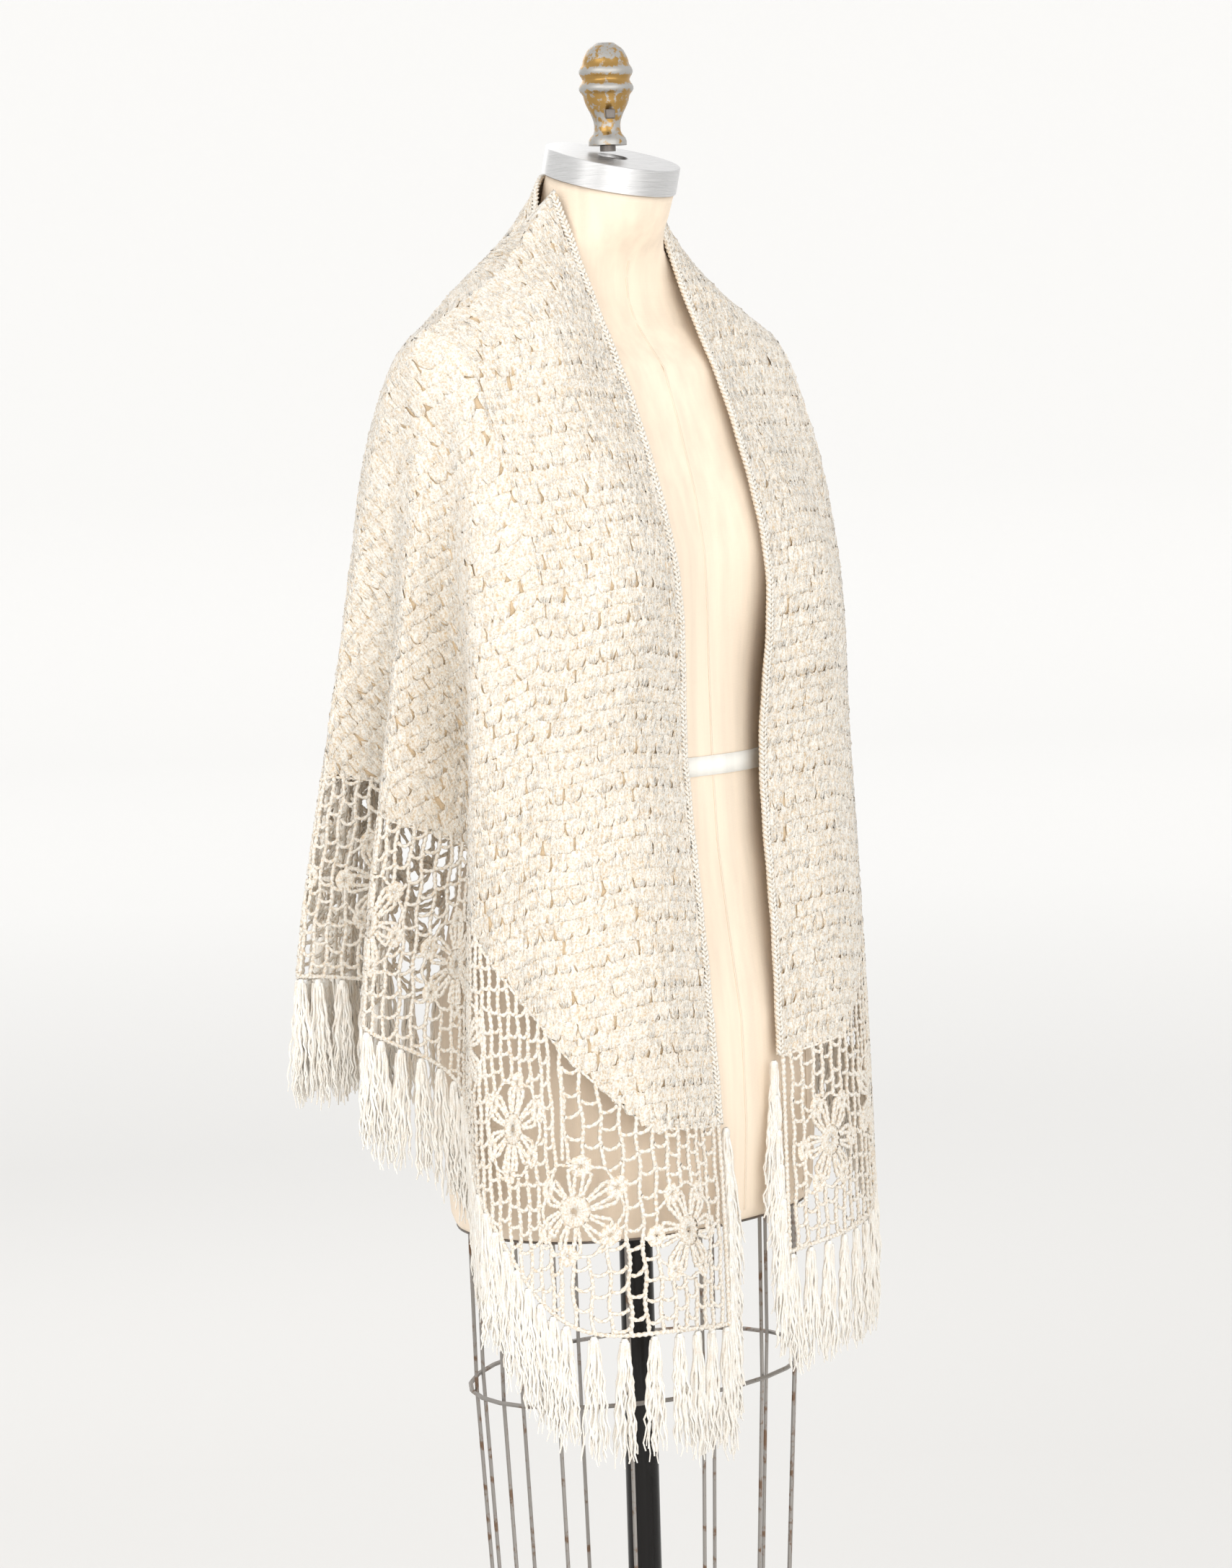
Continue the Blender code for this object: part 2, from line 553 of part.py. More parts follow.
def drape(side, x, y, clearance=FORM_CLEARANCE):
    """Places in space of flat points of one half; side -1 is the form's right."""
    x, y = np.broadcast_arrays(np.asarray(x, float), np.asarray(y, float))
    x, y = x.ravel(), y.ravel()
    beyond_x, beyond_y = x - SHOULDER_X, y - SHOULDER_Y
    in_fan = (beyond_x > 0) & (beyond_y > 0)
    in_front = ~in_fan & (y <= SHOULDER_Y) & (x >= ridge_flat_x(y))
    back_start = np.maximum(0.0, (x - NECK_QUARTER) / (SHOULDER_X - NECK_QUARTER)) * SHOULDER_Y
    turn = np.arctan2(np.maximum(beyond_y, 0), np.maximum(beyond_x, 1e-9))
    order = np.where(in_fan, SHOULDER_Y + FAN_SCALE * turn,
                     np.where(in_front, y, SHOULDER_Y + FAN_SCALE * 0.5 * math.pi + SHOULDER_X - x))
    drop = np.where(in_fan, np.hypot(beyond_x, beyond_y), np.where(in_front, x - ridge_flat_x(y), y - back_start))
    orders, lines = FALLS[side]
    index, gaps, _, share = smooth_line(orders, orders, order)
    step = np.clip(drop / FALL_STEP, 0, FALL_STEPS - 1.001)
    low = step.astype(int)
    part = (step - low)[:, None]

    def line_at(k):
        k = np.clip(k, 0, len(orders) - 1)
        return lines[k, low] * (1 - part) + lines[k, low + 1] * part

    before, start, end, after = (line_at(index + k) for k in (-1, 0, 1, 2))
    gap = gaps[index][:, None]
    gap_before = np.where(index > 0, gaps[np.maximum(index - 1, 0)], gaps[index])[:, None]
    last = len(gaps) - 1
    gap_after = np.where(index < last, gaps[np.minimum(index + 1, last)], gaps[index])[:, None]
    slope = (end - start) / gap
    slope_before = np.where((index > 0)[:, None], (start - before) / gap_before, slope)
    slope_after = np.where((index < last)[:, None], (after - end) / gap_after, slope)
    start_slope = (slope_before * gap + slope * gap_before) / (gap + gap_before)
    end_slope = (slope * gap_after + slope_after * gap) / (gap + gap_after)
    points = hermite(start, end, start_slope, end_slope, gap, share[:, None])
    points = clear_of_form(points, clearance)
    points[:, 0] *= side
    points[:, 2] += WAIST
    return points


def cloth_normals(side, x, y):
    """Outward normals of the draped cloth at flat points."""
    step = 0.003
    x, y = np.asarray(x, float), np.asarray(y, float)
    along = drape(side, x + step, np.maximum(y, 0)) - drape(side, np.maximum(x - step, 0), np.maximum(y, 0))
    across = drape(side, x, y + step) - drape(side, x, np.maximum(y - step, 0))
    normal = np.cross(along, across) * side
    normal[x < 0.001, 0] = 0.0
    size = np.linalg.norm(normal, axis=1, keepdims=True)
    return normal / np.maximum(size, 1e-9)


def wall(name, middle, normals, faces, thickness, finish):
    """A cloth wall: faces of the middle sheet, moved out to both sides and rimmed."""
    half = 0.5 * thickness
    count = len(middle)
    outer = middle + half * normals
    inner = middle - half * normals
    points = np.concatenate([outer, inner])
    solid = [tuple(face) for face in faces]
    solid += [tuple(i + count for i in reversed(face)) for face in faces]
    edges = {}
    for face in faces:
        for a, b in zip(face, face[1:] + face[:1]):
            edges[(a, b)] = True
    for a, b in list(edges):
        if (b, a) not in edges:
            solid.append((b, a, a + count, b + count))
    used = sorted({i for face in solid for i in face})
    renumber = {old: new for new, old in enumerate(used)}
    return add_piece(name, points[used], [tuple(renumber[i] for i in face) for face in solid], finish)


def facing(faces, middle, normals):
    """Turn the faces so that they look along the outward normals."""
    if not faces:
        return faces
    face = faces[len(faces) // 3]
    a, b, c = (middle[i] for i in face[:3])
    if np.dot(np.cross(b - a, c - b), normals[face[0]]) < 0:
        return [tuple(reversed(f)) for f in faces]
    return [tuple(f) for f in faces]


def fix_facing(piece):
    """Point every face of a closed piece outward."""
    shape = bmesh.new()
    shape.from_mesh(piece.data)
    bmesh.ops.recalc_face_normals(shape, faces=shape.faces)
    if shape.calc_volume(signed=True) < 0.0:
        bmesh.ops.reverse_faces(shape, faces=shape.faces)
    shape.to_mesh(piece.data)
    shape.free()


def hem_legs(side):
    """The dense hem from the front tip: straight lengths and the turns between them."""
    first = 0.5 * math.pi - HEM_SLANT
    trims = [HEM_CORNER * math.tan(0.5 * turn) for turn in (first, HEM_SLANT)]
    slant = (BODY_DEPTH - TIP_WIDTH) / math.sin(HEM_SLANT)
    level = BODY_SIDE[side] - (BODY_DEPTH - TIP_WIDTH) / math.tan(HEM_SLANT)
    return ((TIP_WIDTH - trims[0], first), (slant - trims[0] - trims[1], HEM_SLANT), (level - trims[1], 0.0))


def hem_length(side):
    """Length of the dense hem of one half, front tip to back middle."""
    return sum(straight + HEM_CORNER * turn for straight, turn in hem_legs(side))


def hem_place(side, s):
    """Flat x, y and outward angle of the dense hem at a length s from the front tip."""
    s = np.asarray(s, float)
    x, y = np.full(s.shape, float(BODY_SIDE[side])), np.zeros(s.shape)
    turned, gone = 0.0, 0.0
    angle = np.zeros(s.shape)
    for straight, turn in hem_legs(side):
        run = np.clip(s - gone, 0.0, straight)
        x = x - run * math.sin(turned)
        y = y + run * math.cos(turned)
        gone += straight
        bend = np.clip((s - gone) / HEM_CORNER, 0.0, turn)
        x = x + HEM_CORNER * (np.cos(turned + bend) - math.cos(turned))
        y = y + HEM_CORNER * (np.sin(turned + bend) - math.sin(turned))
        angle = angle + bend
        gone += HEM_CORNER * turn
        turned += turn
    return x, y, angle


def body_columns(side):
    """Fall lines of the dense body: flat start, flat hem end and length along the hem.

    Each ends at a side of one of the border's strands, so the two pieces keep one edge.
    """
    front = np.linspace(0.0, SHOULDER_Y, 5)
    whole = hem_length(side)
    lengths = np.linspace(0.0, whole, 500)
    hem_x, hem_y, _ = hem_place(side, lengths)
    turns = np.degrees(np.arctan2(hem_y - SHOULDER_Y, hem_x - SHOULDER_X))
    starts = [((float(ridge_flat_x(y)), float(y)), float(np.interp(y, hem_y, lengths))) for y in front]
    fan = [row[1] for row in (RIGHT_FALLS if side < 0 else LEFT_FALLS) if row[0] in FAN_FALLS]
    fan = sorted([turn - CREST_HALF for turn in fan] + [turn + CREST_HALF for turn in fan]) + [LAST_TURN]
    starts += [((SHOULDER_X, SHOULDER_Y), float(np.interp(turn, turns, lengths))) for turn in fan]
    starts += [((float(ridge_flat_x(y)), float(y)), whole - float(ridge_flat_x(y))) for y in front[::-1]]
    starts += [((x, 0.0), whole - x) for x in (0.060, 0.030, 0.5 * SEAM)]
    strands = np.array(border_lines(side)[0]) * whole
    columns = []
    for start, length in starts:
        length = float(strands[np.argmin(np.abs(strands - length))])
        end_x, end_y, _ = hem_place(side, length)
        columns.append((start, (max(float(end_x), 0.5 * SEAM), float(end_y)), length))
    return columns


def row_shares():
    """Shares of a fall line at the body's rows, closer together near the shoulder."""
    return [(k / BODY_ROWS) ** ROW_POWER for k in range(BODY_ROWS + 1)]


def body_grid(side):
    """Flat points and faces of one half of the dense body, laid along its fall lines."""
    index, xs, ys, faces = {}, [], [], []

    def corner(x, y):
        key = (round(x, 5), round(y, 5))
        if key not in index:
            index[key] = len(xs)
            xs.append(x)
            ys.append(y)
        return index[key]

    lines = []
    for (x0, y0), (x1, y1), _ in body_columns(side):
        lines.append([corner(x0 + (x1 - x0) * k, y0 + (y1 - y0) * k) for k in row_shares()])
    for one, two in zip(lines, lines[1:]):
        for k in range(BODY_ROWS):
            face = (one[k], one[k + 1], two[k + 1], two[k])
            faces.append(face if one[k] != two[k] else face[:3])
    return np.array(xs), np.array(ys), faces


def build_body(side, name):
    """Dense shell-stitch half of the shawl."""
    xs, ys, faces = body_grid(side)
    middle = drape(side, xs, ys)
    normals = cloth_normals(side, xs, ys)
    wall(name, middle, normals, facing(faces, middle, normals), BODY_WALL, "cream_crochet")


def build_edging(side, name):
    """Narrow rope edge along the neck and the front, with a corner at each of the body's."""
    neck = [start[0] for start, _, _ in body_columns(side) if start[1] == 0.0 and start[0] < NECK_QUARTER]
    front = NECK_QUARTER + (BODY_SIDE[side] - NECK_QUARTER) * np.array(row_shares())
    xs = np.array(sorted(neck) + list(front))
    count = len(xs)
    edge = drape(side, xs, 0.0)
    inward = drape(side, xs, 0.010) - edge
    inward[0, 0] = 0.0
    inward /= np.linalg.norm(inward, axis=1, keepdims=True)
    normals = cloth_normals(side, xs, np.zeros(count))
    near = edge - inward * 2 * SEAM
    far = edge - inward * (2 * SEAM + EDGING_WIDTH)
    half = 0.5 * EDGING_WALL
    rings = [(near[i] + half * normals[i], far[i] + half * normals[i],
              far[i] - half * normals[i], near[i] - half * normals[i]) for i in range(count)]
    points, faces = loft(rings)
    fix_facing(add_piece(name, points, faces, "cream_crochet"))


def border_flat(side, u, t):
    """Flat place at share u of the hem and distance t below the dense body."""
    u, t = np.broadcast_arrays(np.asarray(u, float), np.asarray(t, float))
    x, y, turn = hem_place(side, u * hem_length(side))
    return np.maximum(x + t * np.cos(turn), 0.5 * SEAM), y + t * np.sin(turn)


def border_lines(side):
    """Shares of the hem at each strand's two sides, and the depths of the hole rows."""
    cell = 1.0 / (REPEATS * HOLES_A_REPEAT)
    strand = STRAND / hem_length(side)
    lines_u = []
    for k in range(REPEATS * HOLES_A_REPEAT):
        lines_u += [k * cell, k * cell + strand]
    lines_u += [1.0 - strand, 1.0]
    lines_t = [0.0, 0.006, 0.025, 0.030, 0.049, 0.118, 0.146, BORDER_WIDTH]
    return lines_u, lines_t


HOLE_ROWS = (1, 3, 5)


def border_sheet(side):
    """Corners and normals of the lace border's middle sheet, by line and depth."""
    lines_u, lines_t = border_lines(side)
    uu, tt = np.meshgrid(lines_u, lines_t, indexing="ij")
    xs, ys = border_flat(side, uu.ravel(), tt.ravel())
    middle = drape(side, xs, ys).reshape(len(lines_u), len(lines_t), 3)
    normals = cloth_normals(side, xs, ys).reshape(middle.shape)
    columns = body_columns(side)
    lengths = [length for _, _, length in columns]
    end_x, end_y = (np.array([end[k] for _, end, _ in columns]) for k in (0, 1))
    ends, end_normals = drape(side, end_x, end_y), cloth_normals(side, end_x, end_y)
    places = np.array(lines_u) * hem_length(side)
    down = middle[:, 1] - middle[:, 0]
    down /= np.linalg.norm(down, axis=1, keepdims=True)
    for k in range(3):
        shift = np.interp(places, lengths, ends[:, k]) - middle[:, 0, k]
        for j, depth in enumerate(lines_t):
            middle[:, j, k] += shift * max(0.0, 1.0 - depth / lines_t[4])
        middle[:, 0, k] += HEM_GAP * down[:, k]
        normals[:, 0, k] = np.interp(places, lengths, end_normals[:, k])
    return middle, normals


def build_border(side, name):
    """Lace border: net cells cut through above and below a row of flowers."""
    middle, normals = border_sheet(side)
    count, rows = middle.shape[:2]
    middle, normals = middle.reshape(-1, 3), normals.reshape(-1, 3)
    faces = []
    for i in range(count - 1):
        for j in range(rows - 1):
            if j in HOLE_ROWS and i % 2 == 1:
                continue
            a = i * rows + j
            faces.append((a, a + rows, a + rows + 1, a + 1))
    wall(name, middle, normals, facing(faces, middle, normals), BORDER_WALL, "cream_crochet")


def grow_lock(points, faces, ring, rows):
    """Carry a four-sided lock on from a ring of corners: centre, half side, half depth rows."""
    for centre, across, deep in rows:
        first = len(points)
        points += [centre - across - deep, centre - across + deep, centre + across + deep, centre + across - deep]
        fresh = [first, first + 1, first + 2, first + 3]
        for k in range(4):
            m = (k + 1) % 4
            faces.append((ring[k], ring[m], fresh[m], fresh[k]))
        ring = fresh
    faces.append(tuple(ring))


def fringed_strip(name, sections, grow, has_lock):
    """A narrow strip through four-cornered sections, with locks grown from its low side."""
    points, faces = [], []
    for section in sections:
        points += list(section)
    for i in range(len(sections) - 1):
        a, b = 4 * i, 4 * (i + 1)
        for k in range(4):
            m = (k + 1) % 4
            if k == 2 and has_lock(i):
                continue
            faces.append((a + k, a + m, b + m, b + k))
        if has_lock(i):
            grow_lock(points, faces, [a + 2, a + 3, b + 3, b + 2], grow(i))
    end = 4 * (len(sections) - 1)
    faces += [(0, 1, 2, 3), (end + 3, end + 2, end + 1, end)]
    fix_facing(add_piece(name, points, faces, "silk_fringe"))


def build_fringe(side, name):
    """Narrow strip under the border with one hanging lock for each tassel."""
    middle, normals = border_sheet(side)
    line, out = middle[:, -1], normals[:, -1]
    along = np.gradient(line, axis=0)
    along[:, 2] = 0.0
    along /= np.linalg.norm(along, axis=1, keepdims=True)
    drop = np.array([0.0, 0.0, 1.0])
    onward = line - middle[:, -2]
    onward /= np.linalg.norm(onward, axis=1, keepdims=True)
    half_wall = 0.5 * FRINGE_WALL
    sections = []
    for spot, face, down in zip(line, out, onward):
        high, low = spot + FRINGE_GAP * down, spot + (FRINGE_GAP + FRINGE_STRIP) * down
        sections.append((high + face * half_wall, high - face * half_wall,
                         low - face * half_wall, low + face * half_wall))
    centres = 0.5 * (line[0:-1:2] + line[1::2])
    steps = np.linalg.norm(np.diff(centres[:, :2], axis=0), axis=1)
    room = np.minimum(np.concatenate([steps[:1], steps]), np.concatenate([steps, steps[-1:]]))

    def grow(i):
        lock = i // 2
        half = min(0.5 * TASSEL_WIDTH, 0.36 * room[lock], abs(centres[lock][0]) - SEAM)
        length = TASSEL_DROP * (1.0 + 0.06 * math.sin(2.4 * lock))
        top = centres[lock] - (FRINGE_GAP + FRINGE_STRIP) * drop
        across, deep = along[i + 1], out[i + 1]
        return ((top - 0.66 * length * drop, half * across, 0.0042 * deep),
                (top - length * drop, 0.7 * half * across, 0.0028 * deep))

    fringed_strip(name, sections, grow, lambda i: i % 2 == 0)


def build_front_fringe(side, name):
    """Strip down the border's front end with tassels hanging outside each other."""
    middle, _ = border_sheet(side)
    depths = border_lines(side)[1]
    edge, inner = middle[0], middle[1]
    places = np.linspace(0.012, BORDER_WIDTH - 0.012, FRONT_TASSELS)
    aside = edge[3] - inner[3]
    aside[2] = 0.0
    aside /= np.linalg.norm(aside)
    drop = np.array([0.0, 0.0, 1.0])
    out = np.array([aside[1], -aside[0], 0.0]) * side
    half_wall, half_root = 0.5 * FRINGE_WALL, 0.003
    sections = []
    for place in places:
        for depth in (place - half_root, place + half_root):
            spot = np.array([np.interp(depth, depths, edge[:, k]) for k in range(3)])
            near, far = spot + 2 * SEAM * aside, spot + (2 * SEAM + FRINGE_STRIP) * aside
            sections.append((near + out * half_wall, near - out * half_wall,
                             far - out * half_wall, far + out * half_wall))

    roots = [0.25 * sum(sections[i][k] + sections[i + 1][k] for k in (2, 3)) for i in range(0, len(sections), 2)]
    furthest = max(float(root @ aside) for root in roots)

    def grow(i):
        lock = i // 2
        reach = furthest - float(roots[lock] @ aside) + FRONT_TASSEL_STEP * (FRONT_TASSELS - lock)
        stand = roots[lock] + aside * reach
        return ((stand - 0.014 * drop, -0.0024 * aside, 0.0028 * out),
                (stand - 0.66 * TASSEL_DROP * drop, -0.0028 * aside, 0.0036 * out),
                (stand - TASSEL_DROP * drop, -0.0022 * aside, 0.0026 * out))

    fringed_strip(name, sections, grow, lambda i: i % 2 == 0)


def build_all():
    """Clear the scene and build every piece."""
    for old in list(bpy.data.objects):
        bpy.data.objects.remove(old, do_unlink=True)
    build_stand()
    build_cage()
    build_torso()
    build_waist_tape()
    build_neck_cap()
    build_finial()
    for side, word in ((-1, "right"), (1, "left")):
        build_arm_plate(side, f"arm_plate_{word}")
        build_body(side, f"shawl_body_{word}")
        build_edging(side, f"shawl_edging_{word}")
        build_border(side, f"lace_border_{word}")
        build_fringe(side, f"hem_fringe_{word}")
        build_front_fringe(side, f"front_fringe_{word}")


build_all()
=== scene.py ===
"""Looks of a crocheted lace shawl on a dress form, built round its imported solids.

Metres, +Z up.  The form faces -Y and its own right side is -X.  The shawl is
crocheted here stitch by stitch in flat cloth coordinates, and drape() hangs
every stitch on the form as the solids hang.
"""
import math

import bpy
import bmesh
import numpy as np
from bpy.props import FloatProperty, FloatVectorProperty, IntProperty, PointerProperty
from mathutils import Matrix, Vector


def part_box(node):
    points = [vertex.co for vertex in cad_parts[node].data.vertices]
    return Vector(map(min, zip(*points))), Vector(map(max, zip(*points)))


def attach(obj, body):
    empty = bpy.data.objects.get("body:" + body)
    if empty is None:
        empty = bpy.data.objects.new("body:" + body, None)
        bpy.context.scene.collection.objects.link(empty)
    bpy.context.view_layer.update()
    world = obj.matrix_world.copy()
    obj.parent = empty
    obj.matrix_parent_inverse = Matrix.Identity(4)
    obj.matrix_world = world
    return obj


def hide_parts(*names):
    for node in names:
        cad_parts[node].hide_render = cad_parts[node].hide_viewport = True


bl_info = {
    "name": "Lace shawl on a dress form",
    "version": (1, 0, 0),
    "blender": (4, 5, 0),
    "location": "View3D > Sidebar > Shawl",
    "description": "Crochets a lace shawl and drapes it on a dress form",
    "category": "Add Mesh",
}

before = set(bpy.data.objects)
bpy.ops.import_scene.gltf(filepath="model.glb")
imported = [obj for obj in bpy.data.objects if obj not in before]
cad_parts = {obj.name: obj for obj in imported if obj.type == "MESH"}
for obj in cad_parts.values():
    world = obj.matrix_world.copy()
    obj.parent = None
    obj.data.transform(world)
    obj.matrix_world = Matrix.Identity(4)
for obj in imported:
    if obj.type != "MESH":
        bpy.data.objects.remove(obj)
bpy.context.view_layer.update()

# Driving sizes of the form and its stand
WAIST = 1.04
BASE_RADIUS = 0.205
BASE_RIM = 0.016
BASE_HUB = 0.060
POLE_RADIUS = 0.0135
TORSO_BOTTOM = -0.36
NECK_LEAN = math.radians(15.0)
CAP_RADIUS = 0.0535
CAP_HEIGHT = 0.021
CAP_CENTRE = Vector((0.0, -0.004, WAIST + 0.4556))
STEM_RADIUS = 0.0062
FINIAL_FOOT = WAIST + 0.4848
TAPE_HEIGHT = 0.015
TAPE_THICKNESS = 0.0012
PLATE_THICKNESS = 0.005
CAGE_WIRES = 14
WIRE_RADIUS = 0.0016
HOOP_RADIUS = 0.0019
HOOP_SIDES = 28
CAGE_HALF_WIDTH = 0.163
CAGE_HALF_DEPTH = 0.114
CAGE_HOOP = WAIST - 0.490
CAGE_FOOT = WAIST - 0.720
CAGE_FOOT_SCALE = 0.90
SEAM = 0.0003

# Driving sizes of the shawl, laid flat
BODY_SIDE = {-1: 0.838, 1: 0.792}
BODY_DEPTH = 0.505
TIP_WIDTH = 0.090
HEM_CORNER = 0.06
HEM_SLANT = math.radians(39.5)
BODY_ROWS = 13
ROW_POWER = 1.25
BODY_WALL = 0.0022
EDGING_WIDTH = 0.007
EDGING_WALL = 0.0034
BORDER_WIDTH = 0.159
BORDER_WALL = 0.0022
HEM_GAP = 0.0016
REPEATS = 11
HOLES_A_REPEAT = 4
STRAND = 0.0048
FRINGE_STRIP = 0.004
FRINGE_GAP = 0.0020
FRINGE_WALL = 0.003
TASSEL_DROP = 0.098
TASSEL_WIDTH = 0.013
FRONT_TASSELS = 4
FRONT_TASSEL_STEP = 0.0064
NECK_QUARTER = 0.09
SHOULDER_X = 0.185
SHOULDER_Y = 0.165
FORM_CLEARANCE = 0.0045

# Torso rings: height, half width, depth to the front, depth to the back, middle y
TORSO_RINGS = (
    (-0.360, 0.1610, 0.111, 0.111, 0.0),
    (-0.352, 0.1660, 0.116, 0.116, 0.0),
    (-0.280, 0.1710, 0.120, 0.123, 0.0),
    (-0.200, 0.1720, 0.118, 0.128, 0.0),
    (-0.120, 0.1570, 0.106, 0.116, 0.0),
    (-0.060, 0.1360, 0.098, 0.099, 0.0),
    (0.000, 0.1250, 0.095, 0.090, 0.0),
    (0.060, 0.1290, 0.094, 0.092, 0.0),
    (0.115, 0.1390, 0.093, 0.098, 0.0),
    (0.165, 0.1500, 0.091, 0.105, 0.0),
    (0.215, 0.1660, 0.083, 0.110, 0.0),
    (0.265, 0.1800, 0.070, 0.108, 0.0),
    (0.310, 0.1860, 0.060, 0.090, 0.004),
    (0.334, 0.1820, 0.047, 0.070, 0.010),
    (0.346, 0.1690, 0.040, 0.060, 0.012),
    (0.364, 0.1360, 0.035, 0.052, 0.014),
    (0.383, 0.0990, 0.034, 0.048, 0.015),
    (0.400, 0.0690, 0.039, 0.045, 0.014),
    (0.415, 0.0543, 0.0470, 0.044, 0.010),
    (0.435, 0.0493, 0.0510, 0.042, 0.003),
    (0.455, 0.0493, 0.0490, 0.0445, -0.004),
)
TORSO_SIDES = 32
TORSO_POWER = 2.2
BUST = {"x": 0.078, "z": 0.165, "rise": 0.020, "spread_x": 0.036, "spread_z": 0.050}
ARMHOLE = {"low": 0.195, "high": 0.340, "half_width": 0.1765}
PLATE = {"y": 0.022, "z": 0.272, "half_depth": 0.041, "half_height": 0.066}

# Finial turned about the stem: radius, height over its foot
FINIAL_PROFILE = (
    (0.0150, 0.0000), (0.0150, 0.0045), (0.0105, 0.0100), (0.0103, 0.0175),
    (0.0125, 0.0240), (0.0170, 0.0330), (0.0186, 0.0400), (0.0215, 0.0420),
    (0.0215, 0.0465), (0.0186, 0.0490), (0.0186, 0.0525), (0.0212, 0.0550),
    (0.0212, 0.0595), (0.0186, 0.0620), (0.0178, 0.0670), (0.0140, 0.0745),
    (0.0070, 0.0795),
)

# Shoulder ridge that carries the cloth: share of the way, x outward, y, height
RIDGE = (
    (0.00, 0.0600, 0.004, 0.446),
    (0.18, 0.0715, 0.008, 0.4145),
    (0.45, 0.1080, 0.012, 0.3925),
    (0.75, 0.1580, 0.014, 0.3675),
    (1.00, 0.1935, 0.014, 0.3430),
)

HANG_HEIGHTS = (0.27, 0.16, 0.0, -0.15, -0.30, -0.62)

# Fall lines of each half.  place: flat y of a front line, degrees round the
# shoulder tip, or flat x of a back line.  shoulder: x, y, height just past the
# ridge.  hang: x outward and y at each of HANG_HEIGHTS.
RIGHT_FALLS = (
    # name, place, shoulder, hang
    ("front_edge", 0.000, (0.061, -0.037, 0.362),
     ((0.061, -0.079), (0.063, -0.1145), (0.047, -0.106), (0.051, -0.124), (0.045, -0.131), (0.045, -0.136))),
    ("front_bust", 0.080, (0.113, -0.030, 0.362),
     ((0.112, -0.074), (0.113, -0.116), (0.110, -0.109), (0.113, -0.124), (0.111, -0.133), (0.111, -0.138))),
    ("front_side", 0.165, (0.188, -0.010, 0.332),
     ((0.183, -0.040), (0.176, -0.076), (0.178, -0.072), (0.186, -0.082), (0.188, -0.092), (0.188, -0.096))),
    ("fold_one", 10.0, (0.197, 0.000, 0.330),
     ((0.199, -0.028), (0.203, -0.038), (0.210, -0.038), (0.224, -0.046), (0.228, -0.052), (0.228, -0.054))),
    ("tuck_one", 21.0, (0.201, 0.008, 0.328),
     ((0.199, -0.008), (0.186, 0.002), (0.160, 0.012), (0.178, 0.012), (0.190, 0.010), (0.192, 0.010))),
    ("side_one", 34.0, (0.204, 0.015, 0.327),
     ((0.207, 0.012), (0.214, 0.022), (0.225, 0.043), (0.243, 0.052), (0.250, 0.056), (0.251, 0.058))),
    ("tuck_two", 45.0, (0.204, 0.022, 0.327),
     ((0.204, 0.032), (0.199, 0.050), (0.184, 0.074), (0.190, 0.084), (0.195, 0.088), (0.196, 0.090))),
    ("side_two", 57.0, (0.201, 0.030, 0.328),
     ((0.203, 0.056), (0.211, 0.082), (0.228, 0.107), (0.247, 0.122), (0.253, 0.127), (0.254, 0.130))),
    ("tuck_three", 69.0, (0.196, 0.036, 0.329),
     ((0.193, 0.072), (0.186, 0.096), (0.174, 0.118), (0.182, 0.129), (0.186, 0.135), (0.188, 0.137))),
    ("back_lobe", 80.0, (0.188, 0.040, 0.333),
     ((0.178, 0.090), (0.177, 0.120), (0.178, 0.151), (0.188, 0.168), (0.191, 0.176), (0.191, 0.180))),
    ("back_side", 0.185, (0.178, 0.042, 0.340),
     ((0.159, 0.101), (0.152, 0.126), (0.139, 0.146), (0.141, 0.158), (0.142, 0.165), (0.143, 0.170))),
    ("back_bulge", 0.120, (0.104, 0.050, 0.386),
     ((0.106, 0.116), (0.108, 0.136), (0.106, 0.150), (0.110, 0.165), (0.112, 0.174), (0.113, 0.182))),
    ("back_hollow", 0.060, (0.058, 0.060, 0.402),
     ((0.059, 0.118), (0.057, 0.130), (0.053, 0.130), (0.056, 0.144), (0.056, 0.152), (0.056, 0.158))),
    ("back_middle", 0.000, (0.000, 0.071, 0.404),
     ((0.000, 0.119), (0.000, 0.136), (0.000, 0.141), (0.000, 0.153), (0.000, 0.161), (0.000, 0.168))),
)
